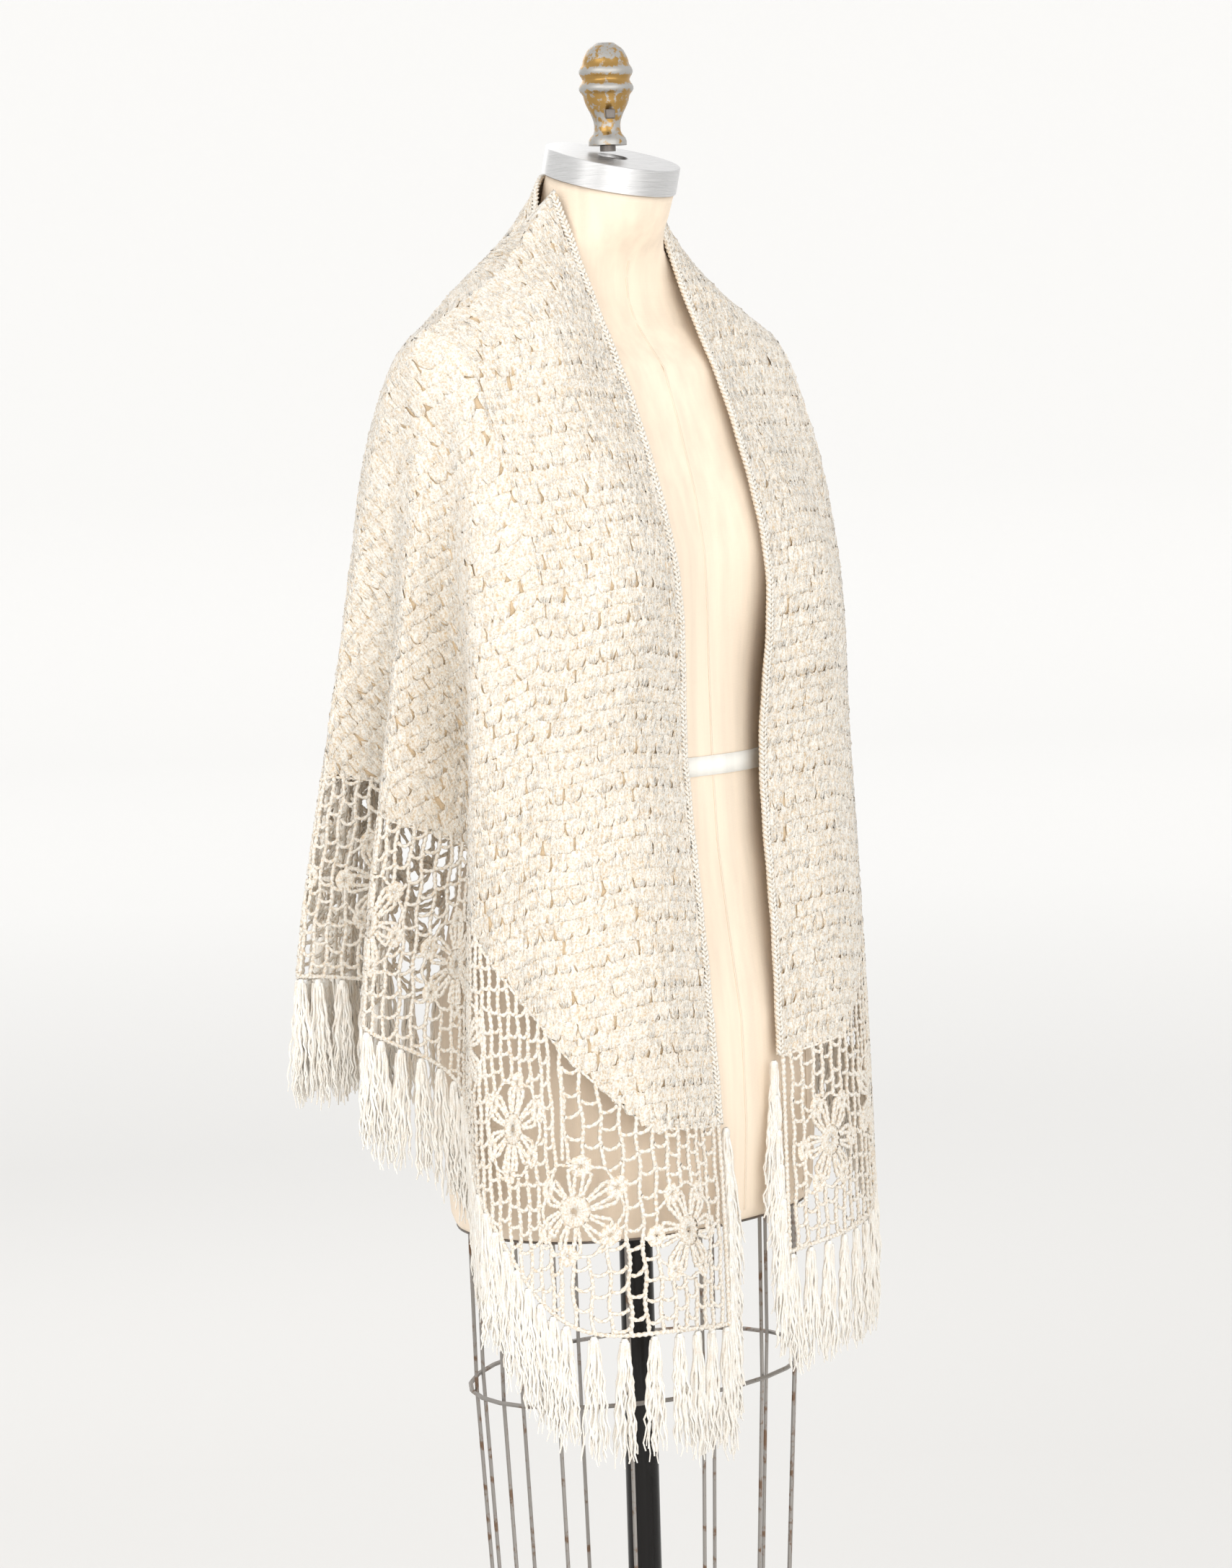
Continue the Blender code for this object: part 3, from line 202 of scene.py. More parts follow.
LEFT_FALLS = (
    # name, place, shoulder, hang
    ("front_edge", 0.000, (0.059, -0.034, 0.362),
     ((0.058, -0.078), (0.056, -0.1120), (0.050, -0.107), (0.042, -0.122), (0.034, -0.131), (0.033, -0.136))),
    ("front_bust", 0.080, (0.113, -0.026, 0.362),
     ((0.112, -0.068), (0.117, -0.115), (0.121, -0.112), (0.110, -0.126), (0.103, -0.134), (0.102, -0.139))),
    ("front_side", 0.165, (0.188, -0.010, 0.332),
     ((0.185, -0.044), (0.185, -0.074), (0.188, -0.080), (0.186, -0.090), (0.184, -0.097), (0.184, -0.101))),
    ("fold_one", 11.0, (0.197, 0.000, 0.330),
     ((0.200, -0.030), (0.204, -0.046), (0.208, -0.054), (0.212, -0.056), (0.214, -0.060), (0.214, -0.062))),
    ("tuck_one", 24.0, (0.201, 0.008, 0.328),
     ((0.199, -0.008), (0.188, -0.002), (0.170, -0.004), (0.184, -0.008), (0.188, -0.010), (0.190, -0.010))),
    ("side_one", 36.0, (0.204, 0.015, 0.327),
     ((0.207, 0.012), (0.213, 0.022), (0.222, 0.030), (0.236, 0.034), (0.246, 0.034), (0.248, 0.034))),
    ("tuck_two", 49.0, (0.203, 0.024, 0.327),
     ((0.203, 0.036), (0.196, 0.052), (0.178, 0.066), (0.186, 0.072), (0.192, 0.074), (0.194, 0.074))),
    ("side_two", 60.0, (0.200, 0.032, 0.328),
     ((0.202, 0.060), (0.210, 0.086), (0.226, 0.104), (0.242, 0.114), (0.250, 0.118), (0.252, 0.120))),
    ("tuck_three", 71.0, (0.195, 0.037, 0.329),
     ((0.192, 0.074), (0.184, 0.098), (0.172, 0.118), (0.180, 0.128), (0.184, 0.132), (0.186, 0.134))),
    ("back_lobe", 81.0, (0.188, 0.040, 0.333),
     ((0.178, 0.092), (0.176, 0.122), (0.174, 0.150), (0.183, 0.168), (0.187, 0.176), (0.188, 0.180))),
    ("back_side", 0.185, (0.178, 0.042, 0.340),
     ((0.158, 0.103), (0.150, 0.128), (0.136, 0.148), (0.136, 0.160), (0.137, 0.168), (0.138, 0.173))),
    ("back_bulge", 0.120, (0.104, 0.050, 0.386),
     ((0.104, 0.114), (0.104, 0.132), (0.100, 0.138), (0.101, 0.150), (0.102, 0.158), (0.103, 0.165))),
    ("back_hollow", 0.060, (0.058, 0.060, 0.402),
     ((0.058, 0.119), (0.055, 0.138), (0.052, 0.148), (0.054, 0.162), (0.055, 0.171), (0.056, 0.178))),
    ("back_middle", 0.000, (0.000, 0.071, 0.404),
     ((0.000, 0.119), (0.000, 0.136), (0.000, 0.141), (0.000, 0.153), (0.000, 0.161), (0.000, 0.168))),
)
FAN_FALLS = ("fold_one", "tuck_one", "side_one", "tuck_two", "side_two", "tuck_three", "back_lobe")
FAN_SCALE = 0.40
CREST_HALF = 2.6
LAST_TURN = 87.0
FALL_STEP = 0.005
FALL_STEPS = 230


def torso_section(height):
    """Half width, front depth, back depth and middle y at a height over the waist."""
    table = np.array(TORSO_RINGS)
    return [np.interp(height, table[:, 0], table[:, k]) for k in range(1, 5)]


def bust_rise(x, height):
    """How far the bust stands out of the plain front."""
    side = (np.abs(x) - BUST["x"]) / BUST["spread_x"]
    level = (height - BUST["z"]) / BUST["spread_z"]
    return BUST["rise"] * np.exp(-0.5 * side ** 2 - 0.5 * level ** 2)


def torso_point(height, angle):
    """A point of the torso's surface; angle 0 faces the front, -Y."""
    half, front, back, middle = torso_section(height)
    turn, face = math.sin(angle), -math.cos(angle)
    x = half * math.copysign(abs(turn) ** (2.0 / TORSO_POWER), turn)
    depth = front if face < 0 else back
    y = middle + depth * math.copysign(abs(face) ** (2.0 / TORSO_POWER), face)
    if face < 0:
        y -= float(bust_rise(x, height)) * abs(face)
    if ARMHOLE["low"] < height < ARMHOLE["high"]:
        x = max(-ARMHOLE["half_width"], min(ARMHOLE["half_width"], x))
    return x, y


def smooth_line(knots, values, places):
    """Read a smooth curve through values at knots (rows) at the given places."""
    knots = np.asarray(knots, float)
    values = np.asarray(values, float)
    places = np.asarray(places, float)
    gaps = np.diff(knots)
    slopes = np.diff(values, axis=0) / gaps.reshape((-1,) + (1,) * (values.ndim - 1))
    ends = np.empty_like(values)
    ends[0], ends[-1] = slopes[0], slopes[-1]
    weight = gaps[1:] / (gaps[1:] + gaps[:-1])
    weight = weight.reshape((-1,) + (1,) * (values.ndim - 1))
    ends[1:-1] = weight * slopes[:-1] + (1.0 - weight) * slopes[1:]
    index = np.clip(np.searchsorted(knots, places) - 1, 0, len(gaps) - 1)
    return index, gaps, ends, (places - knots[index]) / gaps[index]


def hermite(start, end, start_slope, end_slope, gap, share):
    """Cubic between two values, running on straight outside 0 to 1."""
    inside = np.clip(share, 0.0, 1.0)
    t, t2, t3 = inside, inside ** 2, inside ** 3
    value = ((2 * t3 - 3 * t2 + 1) * start + (t3 - 2 * t2 + t) * gap * start_slope
             + (3 * t2 - 2 * t3) * end + (t3 - t2) * gap * end_slope)
    return value + gap * (np.minimum(share, 0.0) * start_slope + np.maximum(share - 1.0, 0.0) * end_slope)


def read_curve(knots, values, places):
    """Points of the smooth curve through rows of values."""
    index, gaps, ends, share = smooth_line(knots, values, places)
    values = np.asarray(values, float)
    gap, share = gaps[index][:, None], share[:, None]
    return hermite(values[index], values[index + 1], ends[index], ends[index + 1], gap, share)


def ridge_flat_x(y):
    """Flat x of the ridge line at flat y."""
    return NECK_QUARTER + (SHOULDER_X - NECK_QUARTER) * np.asarray(y) / SHOULDER_Y


def ridge_spot(share):
    """Place of the ridge in space at a share of its length."""
    table = np.array(RIDGE)
    return read_curve(table[:, 0], table[:, 1:4], np.atleast_1d(share))[0]


def fall_start(name, place):
    """Where a fall line leaves the ridge, the shoulder tip or the neck."""
    if name.startswith("front"):
        return ridge_spot(place / SHOULDER_Y)
    if name in FAN_FALLS:
        return ridge_spot(1.0)
    if place >= NECK_QUARTER:
        return ridge_spot((place - NECK_QUARTER) / (SHOULDER_X - NECK_QUARTER))
    turn = 0.5 * math.pi * place / NECK_QUARTER
    neck, hug = ridge_spot(0.0), 1.0 - 0.06 * math.sin(2.0 * turn) ** 2
    y = 0.0565 - (0.0565 - neck[1]) * (1.0 - math.cos(turn))
    return np.array([neck[0] * math.sin(turn) * hug, y * hug,
                     neck[2] + 0.012 * (1.0 - (turn / (0.5 * math.pi)) ** 2)])


def fall_order(name, place):
    """Where a fall line stands in the count from front edge to back middle."""
    if name.startswith("front"):
        return place
    if name.startswith("back_") and name != "back_lobe":
        return SHOULDER_Y + FAN_SCALE * 0.5 * math.pi + SHOULDER_X - place
    return SHOULDER_Y + FAN_SCALE * math.radians(place)


def fall_table(rows):
    """Order and evenly stepped points of every fall line of one half."""
    orders, lines = [], []
    drops = np.arange(FALL_STEPS) * FALL_STEP
    for name, place, shoulder, hang in rows:
        knots = [fall_start(name, place), np.array(shoulder)]
        knots += [np.array([x, y, z]) for (x, y), z in zip(hang, HANG_HEIGHTS)]
        knots.append(knots[-1] + np.array([0.0, 0.0, -0.5]))
        knots = np.array(knots)
        steps = np.linalg.norm(np.diff(knots, axis=0), axis=1)
        marks = np.concatenate([[0.0], np.cumsum(steps)])
        fine = np.linspace(0.0, marks[-1], 600)
        curve = read_curve(marks, knots, fine)
        run = np.concatenate([[0.0], np.cumsum(np.linalg.norm(np.diff(curve, axis=0), axis=1))])
        lines.append(np.stack([np.interp(drops, run, curve[:, k]) for k in range(3)], axis=1))
        orders.append(fall_order(name, place))
    return np.array(orders), np.array(lines)


FALLS = {-1: fall_table(RIGHT_FALLS), 1: fall_table(LEFT_FALLS)}


def clear_of_form(points, clearance):
    """Move points that lie in the torso's side or front out along the ground."""
    height = points[:, 2]
    level = np.maximum(height, TORSO_BOTTOM + 0.01)
    half, front, back, middle = torso_section(level)
    x, y = points[:, 0], points[:, 1] - middle
    depth = np.where(y < 0, front + bust_rise(x, level), back) + clearance
    size = (np.abs(x) / (half + clearance)) ** TORSO_POWER + (np.abs(y) / depth) ** TORSO_POWER
    scale = np.where((size < 1.0) & (height < 0.33), np.maximum(size, 1e-6) ** (-1.0 / TORSO_POWER), 1.0)
    out = points.copy()
    out[:, 0] = x * scale
    out[:, 1] = y * scale + middle
    return out


def drape(side, x, y, clearance=FORM_CLEARANCE):
    """Places in space of flat points of one half; side -1 is the form's right."""
    x, y = np.broadcast_arrays(np.asarray(x, float), np.asarray(y, float))
    x, y = x.ravel(), y.ravel()
    beyond_x, beyond_y = x - SHOULDER_X, y - SHOULDER_Y
    in_fan = (beyond_x > 0) & (beyond_y > 0)
    in_front = ~in_fan & (y <= SHOULDER_Y) & (x >= ridge_flat_x(y))
    back_start = np.maximum(0.0, (x - NECK_QUARTER) / (SHOULDER_X - NECK_QUARTER)) * SHOULDER_Y
    turn = np.arctan2(np.maximum(beyond_y, 0), np.maximum(beyond_x, 1e-9))
    order = np.where(in_fan, SHOULDER_Y + FAN_SCALE * turn,
                     np.where(in_front, y, SHOULDER_Y + FAN_SCALE * 0.5 * math.pi + SHOULDER_X - x))
    drop = np.where(in_fan, np.hypot(beyond_x, beyond_y), np.where(in_front, x - ridge_flat_x(y), y - back_start))
    orders, lines = FALLS[side]
    index, gaps, _, share = smooth_line(orders, orders, order)
    step = np.clip(drop / FALL_STEP, 0, FALL_STEPS - 1.001)
    low = step.astype(int)
    part = (step - low)[:, None]

    def line_at(k):
        k = np.clip(k, 0, len(orders) - 1)
        return lines[k, low] * (1 - part) + lines[k, low + 1] * part

    before, start, end, after = (line_at(index + k) for k in (-1, 0, 1, 2))
    gap = gaps[index][:, None]
    gap_before = np.where(index > 0, gaps[np.maximum(index - 1, 0)], gaps[index])[:, None]
    last = len(gaps) - 1
    gap_after = np.where(index < last, gaps[np.minimum(index + 1, last)], gaps[index])[:, None]
    slope = (end - start) / gap
    slope_before = np.where((index > 0)[:, None], (start - before) / gap_before, slope)
    slope_after = np.where((index < last)[:, None], (after - end) / gap_after, slope)
    start_slope = (slope_before * gap + slope * gap_before) / (gap + gap_before)
    end_slope = (slope * gap_after + slope_after * gap) / (gap + gap_after)
    points = hermite(start, end, start_slope, end_slope, gap, share[:, None])
    points = clear_of_form(points, clearance)
    points[:, 0] *= side
    points[:, 2] += WAIST
    return points


def cloth_normals(side, x, y):
    """Outward normals of the draped cloth at flat points."""
    step = 0.003
    x, y = np.asarray(x, float), np.asarray(y, float)
    along = drape(side, x + step, np.maximum(y, 0)) - drape(side, np.maximum(x - step, 0), np.maximum(y, 0))
    across = drape(side, x, y + step) - drape(side, x, np.maximum(y - step, 0))
    normal = np.cross(along, across) * side
    normal[x < 0.001, 0] = 0.0
    size = np.linalg.norm(normal, axis=1, keepdims=True)
    return normal / np.maximum(size, 1e-9)


def hem_legs(side):
    """The dense hem from the front tip: straight lengths and the turns between them."""
    first = 0.5 * math.pi - HEM_SLANT
    trims = [HEM_CORNER * math.tan(0.5 * turn) for turn in (first, HEM_SLANT)]
    slant = (BODY_DEPTH - TIP_WIDTH) / math.sin(HEM_SLANT)
    level = BODY_SIDE[side] - (BODY_DEPTH - TIP_WIDTH) / math.tan(HEM_SLANT)
    return ((TIP_WIDTH - trims[0], first), (slant - trims[0] - trims[1], HEM_SLANT), (level - trims[1], 0.0))


def hem_length(side):
    """Length of the dense hem of one half, front tip to back middle."""
    return sum(straight + HEM_CORNER * turn for straight, turn in hem_legs(side))


def hem_place(side, s):
    """Flat x, y and outward angle of the dense hem at a length s from the front tip."""
    s = np.asarray(s, float)
    x, y = np.full(s.shape, float(BODY_SIDE[side])), np.zeros(s.shape)
    turned, gone = 0.0, 0.0
    angle = np.zeros(s.shape)
    for straight, turn in hem_legs(side):
        run = np.clip(s - gone, 0.0, straight)
        x = x - run * math.sin(turned)
        y = y + run * math.cos(turned)
        gone += straight
        bend = np.clip((s - gone) / HEM_CORNER, 0.0, turn)
        x = x + HEM_CORNER * (np.cos(turned + bend) - math.cos(turned))
        y = y + HEM_CORNER * (np.sin(turned + bend) - math.sin(turned))
        angle = angle + bend
        gone += HEM_CORNER * turn
        turned += turn
    return x, y, angle


def border_flat(side, u, t):
    """Flat place at share u of the hem and distance t below the dense body."""
    u, t = np.broadcast_arrays(np.asarray(u, float), np.asarray(t, float))
    x, y, turn = hem_place(side, u * hem_length(side))
    return np.maximum(x + t * np.cos(turn), 0.5 * SEAM), y + t * np.sin(turn)


# Sizes of the stitches and strands
FAN_POSTS = 5
SHELL_ROWS_B = (0.0, 0.24, 0.5, 0.76, 1.0)
SLANT_WAY = np.array([math.sin(HEM_SLANT), math.cos(HEM_SLANT)])
FLOWER_DEPTH = 0.080
FLOWER_PITCH = 0.101
FLOWER_REACH = 0.0372
NET_ROW = 0.0165
NET_COLUMN = 0.0132
CHAIN_STEP = 0.0024
CHAIN_RADII = (0.0023, 0.0015)
TASSEL_PITCH = 0.0235
CAMERA_TURN = math.radians(-48.0)
CAMERA_DISTANCE = 3.6
CAMERA_HEIGHT = 1.355
CAMERA_PITCH = math.radians(5.3)
CAMERA_ROLL = -0.029
FOCAL_PIXELS = 6300.0
PHOTO_SIZE = (1708.0, 2174.0)
SHIFT_PIXELS = 9.0
SIDES = ((-1, "right"), (1, "left"))


class ShawlSettings(bpy.types.PropertyGroup):
    """Sizes and colours of the shawl that a user would change."""

    shell_width: FloatProperty(name="Shell width", description="Width of one shell stitch",
                               default=0.0133, min=0.008, max=0.03, unit="LENGTH")
    shell_height: FloatProperty(name="Shell height", description="Height of one row of shells",
                                default=0.0128, min=0.008, max=0.03, unit="LENGTH")
    yarn: FloatVectorProperty(name="Yarn", description="Colour of the cotton yarn", subtype="COLOR",
                              size=4, min=0.0, max=1.0, default=(0.95, 0.925, 0.865, 1.0))
    # Colour of the painted shade down between the stitches, standing in for shadow and warm bounce light there.
    hollow: FloatVectorProperty(name="Hollow", description="Colour down between the stitches", subtype="COLOR",
                                size=4, min=0.0, max=1.0, default=(0.66, 0.47, 0.26, 1.0))
    silk: FloatVectorProperty(name="Fringe", description="Colour of the silky fringe", subtype="COLOR",
                              size=4, min=0.0, max=1.0, default=(0.96, 0.94, 0.89, 1.0))
    tassel_strands: IntProperty(name="Tassel strands", description="Strands in one tassel",
                                default=17, min=4, max=20)
    seed: IntProperty(name="Seed", description="Start of the hand-made unevenness", default=7, min=0)


class FormSettings(bpy.types.PropertyGroup):
    """Colours of the dress form that a user would change."""

    canvas: FloatVectorProperty(name="Canvas", description="Colour of the linen canvas", subtype="COLOR",
                                size=4, min=0.0, max=1.0, default=(0.90, 0.765, 0.615, 1.0))
    board: FloatVectorProperty(name="Arm plate", description="Colour of the arm plates", subtype="COLOR",
                               size=4, min=0.0, max=1.0, default=(0.075, 0.040, 0.024, 1.0))
    paint: FloatVectorProperty(name="Finial paint", description="Colour of the silver paint", subtype="COLOR",
                               size=4, min=0.0, max=1.0, default=(0.46, 0.45, 0.43, 1.0))


class StageSettings(bpy.types.PropertyGroup):
    """Light of the stage that a user would change."""

    key_power: FloatProperty(name="Key light", description="Power of the main soft light", default=36.0,
                             min=0.0, unit="POWER")
    fill_power: FloatProperty(name="Fill light", description="Power of the second soft light", default=32.0,
                              min=0.0, unit="POWER")
    sky: FloatProperty(name="Room light", description="Strength of the light all round", default=0.985, min=0.0)


def shawl_settings():
    """The shawl's settings."""
    return bpy.context.scene.shawl_settings


def form_settings():
    """The dress form's settings."""
    return bpy.context.scene.form_settings


# Shared shader groups

def socket_group(name, inputs, outputs):
    """Start a shader group with named value inputs and outputs; returns its tree and two ends."""
    tree = bpy.data.node_groups.new(name, "ShaderNodeTree")
    for title, kind, default in inputs:
        socket = tree.interface.new_socket(title, in_out="INPUT", socket_type=kind)
        if default is not None:
            socket.default_value = default
    for title, kind in outputs:
        tree.interface.new_socket(title, in_out="OUTPUT", socket_type=kind)
    return tree, tree.nodes.new("NodeGroupInput"), tree.nodes.new("NodeGroupOutput")


def yarn_fuzz_group():
    """Fine broken noise of plied yarn: a height and a mask of uneven shade."""
    found = bpy.data.node_groups.get("yarn_fuzz")
    if found:
        return found
    tree, start, end = socket_group("yarn_fuzz", (("Scale", "NodeSocketFloat", 900.0),),
                                    (("Height", "NodeSocketFloat"), ("Mask", "NodeSocketFloat")))
    link = tree.links.new
    place = tree.nodes.new("ShaderNodeTexCoord")
    fine = tree.nodes.new("ShaderNodeTexNoise")
    fine.inputs["Detail"].default_value = 3.0
    fine.inputs["Roughness"].default_value = 0.65
    link(place.outputs["Object"], fine.inputs["Vector"])
    link(start.outputs["Scale"], fine.inputs["Scale"])
    patch = tree.nodes.new("ShaderNodeTexNoise")
    patch.inputs["Scale"].default_value = 14.0
    patch.inputs["Detail"].default_value = 3.0
    link(place.outputs["Object"], patch.inputs["Vector"])
    link(fine.outputs["Fac"], end.inputs["Height"])
    link(patch.outputs["Fac"], end.inputs["Mask"])
    return tree


def cross_weave_group():
    """Plain weave: threads across and up the piece, as a height and a faint mask of slubs."""
    found = bpy.data.node_groups.get("cross_weave")
    if found:
        return found
    tree, start, end = socket_group("cross_weave", (("Threads", "NodeSocketFloat", 260.0),),
                                    (("Height", "NodeSocketFloat"), ("Slub", "NodeSocketFloat")))
    link = tree.links.new
    place = tree.nodes.new("ShaderNodeTexCoord")
    waves = []
    for way in ("X", "Z"):
        wave = tree.nodes.new("ShaderNodeTexWave")
        wave.bands_direction = way
        wave.inputs["Distortion"].default_value = 1.2
        wave.inputs["Detail"].default_value = 1.0
        link(place.outputs["Object"], wave.inputs["Vector"])
        link(start.outputs["Threads"], wave.inputs["Scale"])
        waves.append(wave)
    add = tree.nodes.new("ShaderNodeMath")
    add.operation = "MAXIMUM"
    link(waves[0].outputs["Fac"], add.inputs[0])
    link(waves[1].outputs["Fac"], add.inputs[1])
    link(add.outputs["Value"], end.inputs["Height"])
    turn = tree.nodes.new("ShaderNodeMapping")
    turn.inputs["Scale"].default_value = (90.0, 90.0, 7.0)
    slub = tree.nodes.new("ShaderNodeTexNoise")
    slub.inputs["Scale"].default_value = 1.0
    slub.inputs["Detail"].default_value = 4.0
    link(place.outputs["Object"], turn.inputs["Vector"])
    link(turn.outputs["Vector"], slub.inputs["Vector"])
    link(slub.outputs["Fac"], end.inputs["Slub"])
    return tree


def wear_group():
    """Patchy wear: a mask that grows where noise rises over a level."""
    found = bpy.data.node_groups.get("patchy_wear")
    if found:
        return found
    tree, start, end = socket_group(
        "patchy_wear", (("Scale", "NodeSocketFloat", 40.0), ("Level", "NodeSocketFloat", 0.5),
                        ("Softness", "NodeSocketFloat", 0.08)), (("Mask", "NodeSocketFloat"),))
    link = tree.links.new
    place = tree.nodes.new("ShaderNodeTexCoord")
    noise = tree.nodes.new("ShaderNodeTexNoise")
    noise.inputs["Detail"].default_value = 7.0
    noise.inputs["Roughness"].default_value = 0.62
    link(place.outputs["Object"], noise.inputs["Vector"])
    link(start.outputs["Scale"], noise.inputs["Scale"])
    above = tree.nodes.new("ShaderNodeMath")
    above.operation = "SUBTRACT"
    link(noise.outputs["Fac"], above.inputs[0])
    link(start.outputs["Level"], above.inputs[1])
    share = tree.nodes.new("ShaderNodeMath")
    share.operation = "DIVIDE"
    share.use_clamp = True
    link(above.outputs["Value"], share.inputs[0])
    link(start.outputs["Softness"], share.inputs[1])
    link(share.outputs["Value"], end.inputs["Mask"])
    return tree


# Finishes

def start_finish(name, colour, roughness, metallic=0.0, **own):
    """A material with a Principled shader; own sets its own sockets by name."""
    made = bpy.data.materials.new(name + "_look")
    made.use_nodes = True
    shader = made.node_tree.nodes["Principled BSDF"]
    shader.inputs["Base Color"].default_value = (*colour[:3], 1.0)
    shader.inputs["Roughness"].default_value = roughness
    shader.inputs["Metallic"].default_value = metallic
    for title, value in own.items():
        shader.inputs[title.replace("_", " ")].default_value = value
    return made, made.node_tree, shader


def use_group(tree, group, **values):
    """Place a shared group in a material with its own values."""
    node = tree.nodes.new("ShaderNodeGroup")
    node.node_tree = group
    for title, value in values.items():
        node.inputs[title].default_value = value
    return node


def mix_colours(tree, mask, low, high):
    """Mix two colours, or a colour and a socket, by a mask."""
    mix = tree.nodes.new("ShaderNodeMix")
    mix.data_type = "RGBA"
    tree.links.new(mask, mix.inputs["Factor"])
    for socket, value in ((mix.inputs[6], low), (mix.inputs[7], high)):
        if isinstance(value, bpy.types.NodeSocket):
            tree.links.new(value, socket)
        else:
            socket.default_value = (*value[:3], 1.0)
    return mix.outputs[2]


def map_range(tree, value, low, high, to_low, to_high):
    """Stretch a value from one range to another."""
    node = tree.nodes.new("ShaderNodeMapRange")
    node.clamp = True
    for title, number in (("From Min", low), ("From Max", high), ("To Min", to_low), ("To Max", to_high)):
        node.inputs[title].default_value = number
    tree.links.new(value, node.inputs["Value"])
    return node.outputs["Result"]


def add_bump(tree, shader, height, strength, distance):
    """Feed a height to the shader's normal."""
    bump = tree.nodes.new("ShaderNodeBump")
    bump.inputs["Strength"].default_value = strength
    bump.inputs["Distance"].default_value = distance
    tree.links.new(height, bump.inputs["Height"])
    tree.links.new(bump.outputs["Normal"], shader.inputs["Normal"])


def yarn_finish(name, colour, hollow, scale, strength, fuzz_shade_depth):
    """Crocheted or silky yarn with painted shade: darker and warmer down in its hollows and in the low spots of its
    fuzz.
    """
    made, tree, shader = start_finish(name, colour, 0.72, Sheen_Weight=0.25, Sheen_Roughness=0.5,
                                      Specular_IOR_Level=0.25)
    fuzz = use_group(tree, yarn_fuzz_group(), Scale=scale)
    depth = tree.nodes.new("ShaderNodeAttribute")
    depth.attribute_name = "hollow"
    # Painted shade: the low spots of the fuzz bump are darkened towards the hollow colour.
    fuzz_shade = map_range(tree, fuzz.outputs["Height"], 0.38, 0.52, fuzz_shade_depth, 0.0)
    sum_up = tree.nodes.new("ShaderNodeMath")
    sum_up.operation = "ADD"
    tree.links.new(depth.outputs["Fac"], sum_up.inputs[0])
    tree.links.new(fuzz_shade, sum_up.inputs[1])
    shade = map_range(tree, fuzz.outputs["Mask"], 0.3, 0.7, 0.0, 1.0)
    light = mix_colours(tree, shade, tuple(c * 0.97 for c in colour[:3]), tuple(min(1.0, c * 1.02) for c in colour[:3]))
    # Painted shade: the hollow attribute and the fuzz lows mix the yarn towards the tan hollow colour, standing in for
    # shadow and warm bounce light between the stitches.
    painted_shade = map_range(tree, sum_up.outputs["Value"], 0.0, 1.2, 0.0, 0.85)
    tree.links.new(mix_colours(tree, painted_shade, light, hollow), shader.inputs["Base Color"])
    add_bump(tree, shader, fuzz.outputs["Height"], strength, 0.0012)
    return made


def canvas_finish(name, colour, threads, strength):
    """Plain woven cloth with faint upright slubs."""
    made, tree, shader = start_finish(name, colour, 0.86, Sheen_Weight=0.12, Specular_IOR_Level=0.2)
    weave = use_group(tree, cross_weave_group(), Threads=threads)
    slub = map_range(tree, weave.outputs["Slub"], 0.32, 0.68, 0.0, 1.0)
    dark, pale = tuple(c * 0.93 for c in colour[:3]), tuple(min(1.0, c * 1.05) for c in colour[:3])
    tree.links.new(mix_colours(tree, slub, dark, pale), shader.inputs["Base Color"])
    add_bump(tree, shader, weave.outputs["Height"], strength, 0.0003)
    return made


def worn_metal_finish(name, under, over, level, roughness, scale, hollows=0.0):
    """Paint or polish worn through in patches, and in the hollows, to what lies under it."""
    made, tree, shader = start_finish(name, under, roughness, 1.0)
    wear = use_group(tree, wear_group(), Scale=scale, Level=level, Softness=0.09)
    if hollows:
        depth = tree.nodes.new("ShaderNodeAttribute")
        depth.attribute_name = "hollow"
        lower = map_range(tree, depth.outputs["Fac"], 0.0, 1.0, level, level - hollows)
        tree.links.new(lower, wear.inputs["Level"])
    tree.links.new(mix_colours(tree, wear.outputs["Mask"], over, under), shader.inputs["Base Color"])
    rough = map_range(tree, wear.outputs["Mask"], 0.0, 1.0, roughness + 0.16, roughness)
    tree.links.new(rough, shader.inputs["Roughness"])
    add_bump(tree, shader, wear.outputs["Mask"], 0.25, 0.0003)
    return made


def turned_metal_finish(name, colour):
    """Aluminium with fine marks that run round it."""
    made, tree, shader = start_finish(name, colour, 0.30, 1.0)
    place = tree.nodes.new("ShaderNodeTexCoord")
    stretch = tree.nodes.new("ShaderNodeMapping")
    stretch.inputs["Rotation"].default_value = (-NECK_LEAN, 0.0, 0.0)
    stretch.inputs["Scale"].default_value = (9.0, 9.0, 900.0)
    marks = tree.nodes.new("ShaderNodeTexNoise")
    marks.inputs["Detail"].default_value = 5.0
    marks.inputs["Roughness"].default_value = 0.7
    tree.links.new(place.outputs["Object"], stretch.inputs["Vector"])
    tree.links.new(stretch.outputs["Vector"], marks.inputs["Vector"])
    tree.links.new(map_range(tree, marks.outputs["Fac"], 0.3, 0.7, 0.20, 0.46), shader.inputs["Roughness"])
    streak = map_range(tree, marks.outputs["Fac"], 0.30, 0.70, 0.0, 1.0)
    tree.links.new(mix_colours(tree, streak, tuple(c * 0.78 for c in colour[:3]), tuple(c * 1.2 for c in colour[:3])),
                   shader.inputs["Base Color"])
    add_bump(tree, shader, marks.outputs["Fac"], 0.10, 0.0002)
    return made


